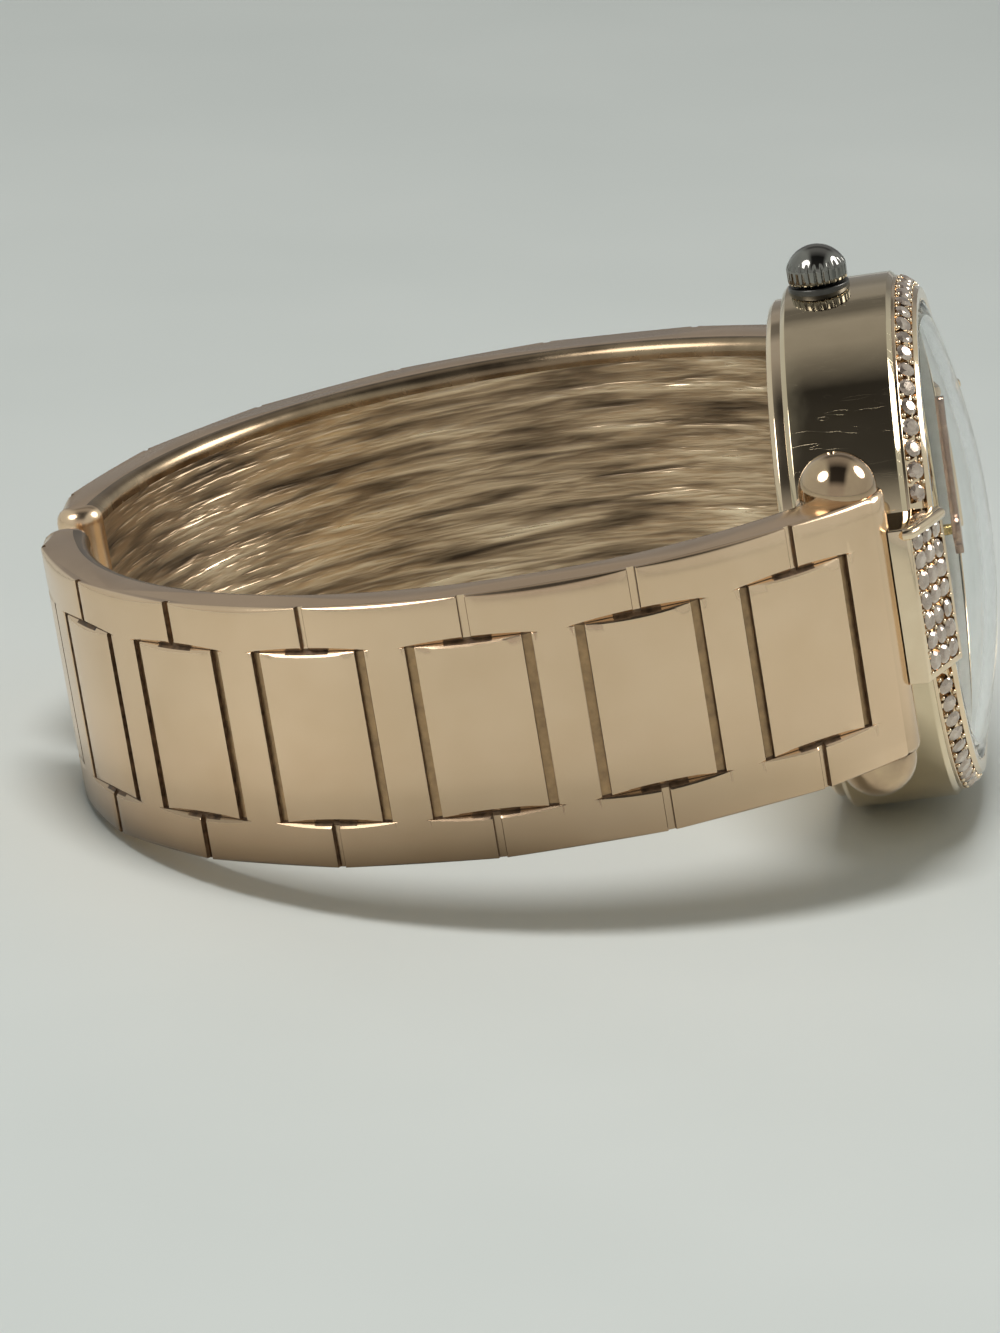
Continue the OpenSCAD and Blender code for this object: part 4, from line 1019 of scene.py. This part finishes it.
def build_crown():
    """Crown: a polished dome over a fluted grip"""
    dome, bevel = CROWN_H * 0.55, 0.1
    round_r = (CROWN_R ** 2 + dome ** 2) / (2 * dome)
    foot = CROWN_H - dome
    edge = math.asin((round_r - dome) / round_r)
    socket, deep = 0.95, 1.1
    outline = ([Vector(p) for p in ((0, deep), (socket, deep), (socket, 0), (CROWN_R - 0.12, 0),
                                    (CROWN_R - 0.02, bevel))]
               + [Vector((CROWN_R, bevel + (foot - bevel) * k / 6)) for k in range(1, 7)]
               + arc((0, CROWN_H - round_r), round_r, edge, math.pi / 2, 22)[1:])
    outline[-1].x = 0
    flute_deep, flute_top, run_out, plain_r = 0.1, CROWN_H * 0.62, 0.25, 1.2

    def flute(radius, height, angle):
        """Flutes run out on the shoulder of the dome, and the socket has none"""
        if radius < plain_r:
            return radius
        fade = min(1, max(0, (flute_top - height) / run_out))
        wave = max(0, math.cos(FLUTES * angle)) ** 1.5
        return radius - flute_deep * fade * wave

    to_flank = Matrix.Translation((CROWN_FOOT, 0, CROWN_Z)) @ Matrix.Rotation(math.pi / 2, 4, "Y")
    place("crown_fluted", moved(lathe(outline, FLUTES * 12, flute), to_flank), "crown", ("crown",),
          node="crown", sharp=50)


def build_crown_tube():
    """Crown tube with the round collar that sits on the flank"""
    hole, tube, collar = 0.45, 0.85, 1.85
    seat, face, end = CASE_R - 0.5, CROWN_FOOT - 0.12, CROWN_FOOT + 0.4
    outline = [(hole, BORE_R), (tube, BORE_R), (tube, seat), (collar, seat), (collar, face),
               (tube, face), (tube, end), (hole, end)]
    bm = lathe(rounded(outline, [0, 0, 0, 0, 0.1, 0, 0.04, 0.04]), 96)
    bm.transform(Matrix.Translation((0, 0, CROWN_Z)) @ Matrix.Rotation(math.pi / 2, 4, "Y"))
    place("crown_tube_collar", bm, "head", ("collar",), node="crown_tube")


def link_block(half):
    """The end link's solid before its seat and recess: block, neck and tongue"""
    root = CASE_R - 1.6
    block = shape(bar([(root, HINGE_Z + 1.2), (LINK_EDGE_Y, HINGE_Z + 1.2),
                       (LINK_EDGE_Y, LINK_LOW_Z), (LINK_IN_Y, LINK_HIGH_Z),
                       (LINK_IN_Y, BEZEL_TOP - 1), (root, BEZEL_TOP - 1)], -half, half))
    block = worked(block, [("BEVEL", {"width": 0.14, "segments": 3, "limit_method": "ANGLE",
                                      "angle_limit": math.radians(15)})])
    # the gap is drawn as narrow as it looks; the part's own is OVER_CLEAR
    sweep = BARREL_R + OVER_CLEAR / 2
    block = cut(block, bar(circle((HINGE_Y, HINGE_Z), sweep, 96), -half - 1, half + 1))
    reach, high, low = sweep + 0.2, math.radians(61.5), math.radians(29)
    neck = [(HINGE_Y, HINGE_Z),
            (HINGE_Y - reach * math.cos(high), HINGE_Z + reach * math.sin(high)),
            (root, HINGE_Z + reach * math.sin(high)),
            (root, HINGE_Z - (HINGE_Y - root) * math.tan(low))]
    tongue = circle((HINGE_Y, HINGE_Z), TONGUE_R, 64)
    return join(block, bar(neck, -half, half), bar(tongue, -half, half))


def link_ridge(half):
    """Rounded ridge along the end link's edge towards the crown, its outer end turned down"""
    middle = half - RIDGE_R - 0.02
    path = [(LINK_FACE / 2 - 0.1, -0.55), (LINK_FACE / 2 - 0.03, -0.25),
            (LINK_FACE / 2 - 0.2, 0.02), (LINK_FACE / 2 - 0.5, 0.1), (-LINK_FACE / 2 + 0.5, 0.1),
            (-LINK_FACE / 2 + 0.25, 0.06)]
    bm = bmesh.new()
    rings = []
    for k, (y, z) in enumerate(path):
        before, after = path[max(0, k - 1)], path[min(len(path) - 1, k + 1)]
        way = Vector((after[0] - before[0], after[1] - before[1])).normalized()
        side = Vector((-way.y, way.x))
        size = RIDGE_R * (0.8 if k in (0, len(path) - 1) else 1)
        rings.append([bm.verts.new((middle + size * math.cos(a),
                                    y + side.x * size * math.sin(a),
                                    z + side.y * size * math.sin(a)))
                      for a in (2 * math.pi * i / 20 for i in range(20))])
    for here, there in zip(rings, rings[1:]):
        for i in range(20):
            k = (i + 1) % 20
            bm.faces.new((here[i], here[k], there[k], there[i]))
    bm.faces.new(rings[0])
    bm.faces.new(rings[-1])
    bmesh.ops.recalc_face_normals(bm, faces=bm.faces)
    return bm


def build_end_link(side, rear):
    """End link: bevelled block over the bezel with its stone recess, neck and hinge tongue"""
    half = LINK_W / 2
    shift = Matrix.Translation((LINK_SHIFT, 0, 0))
    seat = lathe([(0, -1), (CASE_R + 0.02, -1), (CASE_R + 0.02, CASE_H),
                  (SLOPE_LOW.x + 0.02, SLOPE_LOW.y), (SLOPE_HIGH.x + 0.02, SLOPE_HIGH.y),
                  (SLOPE_HIGH.x + 0.02, BEZEL_TOP + 0.02), (0, BEZEL_TOP + 0.02)], 256)
    tray = bmesh.new()
    bmesh.ops.create_cube(tray, size=1)
    tray.transform(link_frame() @ Matrix.Translation((0, 0, 1 - TRAY_T))
                   @ Matrix.Diagonal((LINK_W - 2 * TRAY_RIM, LINK_FACE - 2 * TRAY_RIM, 2, 1)))
    pin = moved(bar(circle((HINGE_Y, HINGE_Z), PIN_HOLE_R, 48), -half - 1, half + 1), shift)
    block = link_block(half)
    block.data.transform(shift)
    block = cut(block, seat, tray, pin)
    beads = []
    for row in range(LINK_ROWS + 1):
        for col in range(LINK_COLS + 1):
            at = link_frame() @ Vector(((row - LINK_ROWS / 2) * LINK_PITCH,
                                        (col - LINK_COLS / 2) * LINK_PITCH, -0.03))
            beads.append(bead(at))
    place("end_link_" + side + "_bevelled",
          gather(taken(block), moved(link_ridge(half), link_frame()), *beads), "head", ("bright",),
          node="end_link_" + side, rear=rear)


def dress_inner_parts():
    """Finishes for the parts whose solids already have their real shape"""
    finishes = {
        "rubber": ("case_back_gasket", "crown_gasket"),
        "gasket": ("crystal_gasket",),
        "dial": ("dial",),
        "hand": ("dial_markers",),
        "crown": ("stem",),
        "plate": ("hinge_pin_front", "hinge_pin_rear"),
        "spring": ("hinge_spring_front", "hinge_spring_rear"),
        "ring": ("movement_ring",),
        "brass": ("main_plate", "clutch_pinion", "intermediate_wheel", "centre_wheel",
                  "minute_wheel", "hour_wheel"),
        "nickel": ("train_bridge", "battery", "battery_clip", "quartz_can", "stator"),
        "board": ("circuit_board",),
        "copper": ("coil",),
        "magnet": ("rotor",),
    }
    for key, nodes in finishes.items():
        for name in nodes:
            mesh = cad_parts[name].data
            for i in range(len(mesh.materials)):
                mesh.materials[i] = FINISH[key]


# Floor and light

FLOOR_HALF = 0.9
# The room's brightness between its walls: degrees from the front, over the top, to the back
STRIP = ((0, 0.5), (24, 0.45), (44, 0.05), (86, 0.03), (90, 0.08), (95, 0.14), (103, 0.22),
         (112, 0.32), (127, 0.35), (131, 0.25), (135, 0.15), (143, 0.15), (147, 0.31),
         (157, 0.31), (163, 0.22), (178, 0.25))


def studio_floor():
    """Plain pale tabletop"""
    bm = bmesh.new()
    bmesh.ops.create_grid(bm, x_segments=2, y_segments=2, size=FLOOR_HALF)
    shape(bm, ("table",), "tabletop")


def softbox(name, way, size, power, away=0.5, mirrored=True):
    """A round studio light, aimed at the watch; a mirrored one shows in the metal only, and
    one that is not mirrored lights the table and the painted parts"""
    data = bpy.data.lights.new(name, "AREA")
    data.shape, data.size, data.energy = "DISK", size, power
    light = bpy.data.objects.new(name, data)
    light.visible_glossy, light.visible_diffuse = mirrored, not mirrored
    target = watch_point(*VIEW_AT)
    light.matrix_world = (Matrix.Translation(target + way * away)
                          @ way.to_track_quat("Z", "Y").to_matrix().to_4x4())
    bpy.context.scene.collection.objects.link(light)


def studio_lamps():
    """Two lamps that the metal shows, placed by the camera's directions, and one overhead
    that lights the table, so that its shadows stay close under the watch"""
    right, up, back = view_axes()
    softbox("lamp_left", (up + back * 0.83 - right).normalized(), 0.26, 0.9)
    softbox("lamp_right", (up * 0.83 + right + back * 0.06).normalized(), 0.24, 1.2)
    softbox("lamp_top", Vector((0, -0.25, 1)).normalized(), 0.22, 2.1, away=0.6, mirrored=False)


def strip_light(tree, way):
    """Light of the room between its walls, which changes with height"""
    front = add(tree, "ShaderNodeMath", {0: way.outputs["Y"], 1: -1.0}, operation="MULTIPLY")
    turn = add(tree, "ShaderNodeMath", {0: way.outputs["Z"], 1: front.outputs["Value"]},
               operation="ARCTAN2")
    share = add(tree, "ShaderNodeMath", {0: turn.outputs["Value"], 1: math.pi},
                operation="DIVIDE")
    strip = add(tree, "ShaderNodeValToRGB", {"Fac": share.outputs["Value"]},
                stops=[(degrees / 180, (level, level, level * 0.98, 1))
                       for degrees, level in STRIP])
    return strip.outputs["Color"]


def studio_world():
    """Room light: pale walls at both sides, and between them a strip that changes with height;
    the table takes less of it than the metal, and the camera sees a plain grey"""
    world = bpy.data.worlds.new("studio")
    world.use_nodes = True
    tree = world.node_tree
    tree.nodes.clear()
    way = add(tree, "ShaderNodeSeparateXYZ",
              {"Vector": add(tree, "ShaderNodeTexCoord").outputs["Generated"]})
    aside = add(tree, "ShaderNodeMath", {0: way.outputs["X"]}, operation="ABSOLUTE")
    wall = add(tree, "ShaderNodeMapRange", {"Value": aside.outputs["Value"],
                                            "From Min": 0.3, "From Max": 0.5})
    ray = add(tree, "ShaderNodeLightPath")
    light = strip_light(tree, way)
    for factor, colour in ((wall.outputs["Result"], "#C3C8C5"),
                           (ray.outputs["Is Diffuse Ray"], "#8B8F8D"),
                           (ray.outputs["Is Camera Ray"], "#A4A9A7")):
        light = add(tree, "ShaderNodeMix", {"Factor": factor, "A": light, "B": linear(colour)},
                    data_type="RGBA").outputs["Result"]
    room = add(tree, "ShaderNodeBackground", {"Color": light, "Strength": 1.0})
    add(tree, "ShaderNodeOutputWorld", {"Surface": room.outputs["Background"]})
    bpy.context.scene.world = world


def main():
    place_camera()
    for side, rear in (("front", False), ("rear", True)):
        build_arm(side, rear)
        build_hinge_balls(side, rear)
        build_end_link(side, rear)
        build_link_stones(side, rear)
    build_case()
    build_case_back()
    build_bezel()
    build_bezel_stones()
    build_crystal()
    build_hand("hour_hand", hand_outline(HOUR_L, HOUR_TAIL, HAND_W, HUB_R), HOUR_T,
               DIAL_TOP + HOUR_GAP, HOUR_TURN, HOUR_HOLE_R, "hour")
    build_hand("minute_hand", hand_outline(MINUTE_L, MINUTE_TAIL, HAND_W, HUB_R), MINUTE_T,
               DIAL_TOP + MINUTE_GAP, MINUTE_TURN, MINUTE_HOLE_R, "minute")
    build_crown()
    build_crown_tube()
    dress_inner_parts()
    studio_floor()
    studio_lamps()
    studio_world()
    bpy.context.scene.view_settings.view_transform = "Standard"


main()
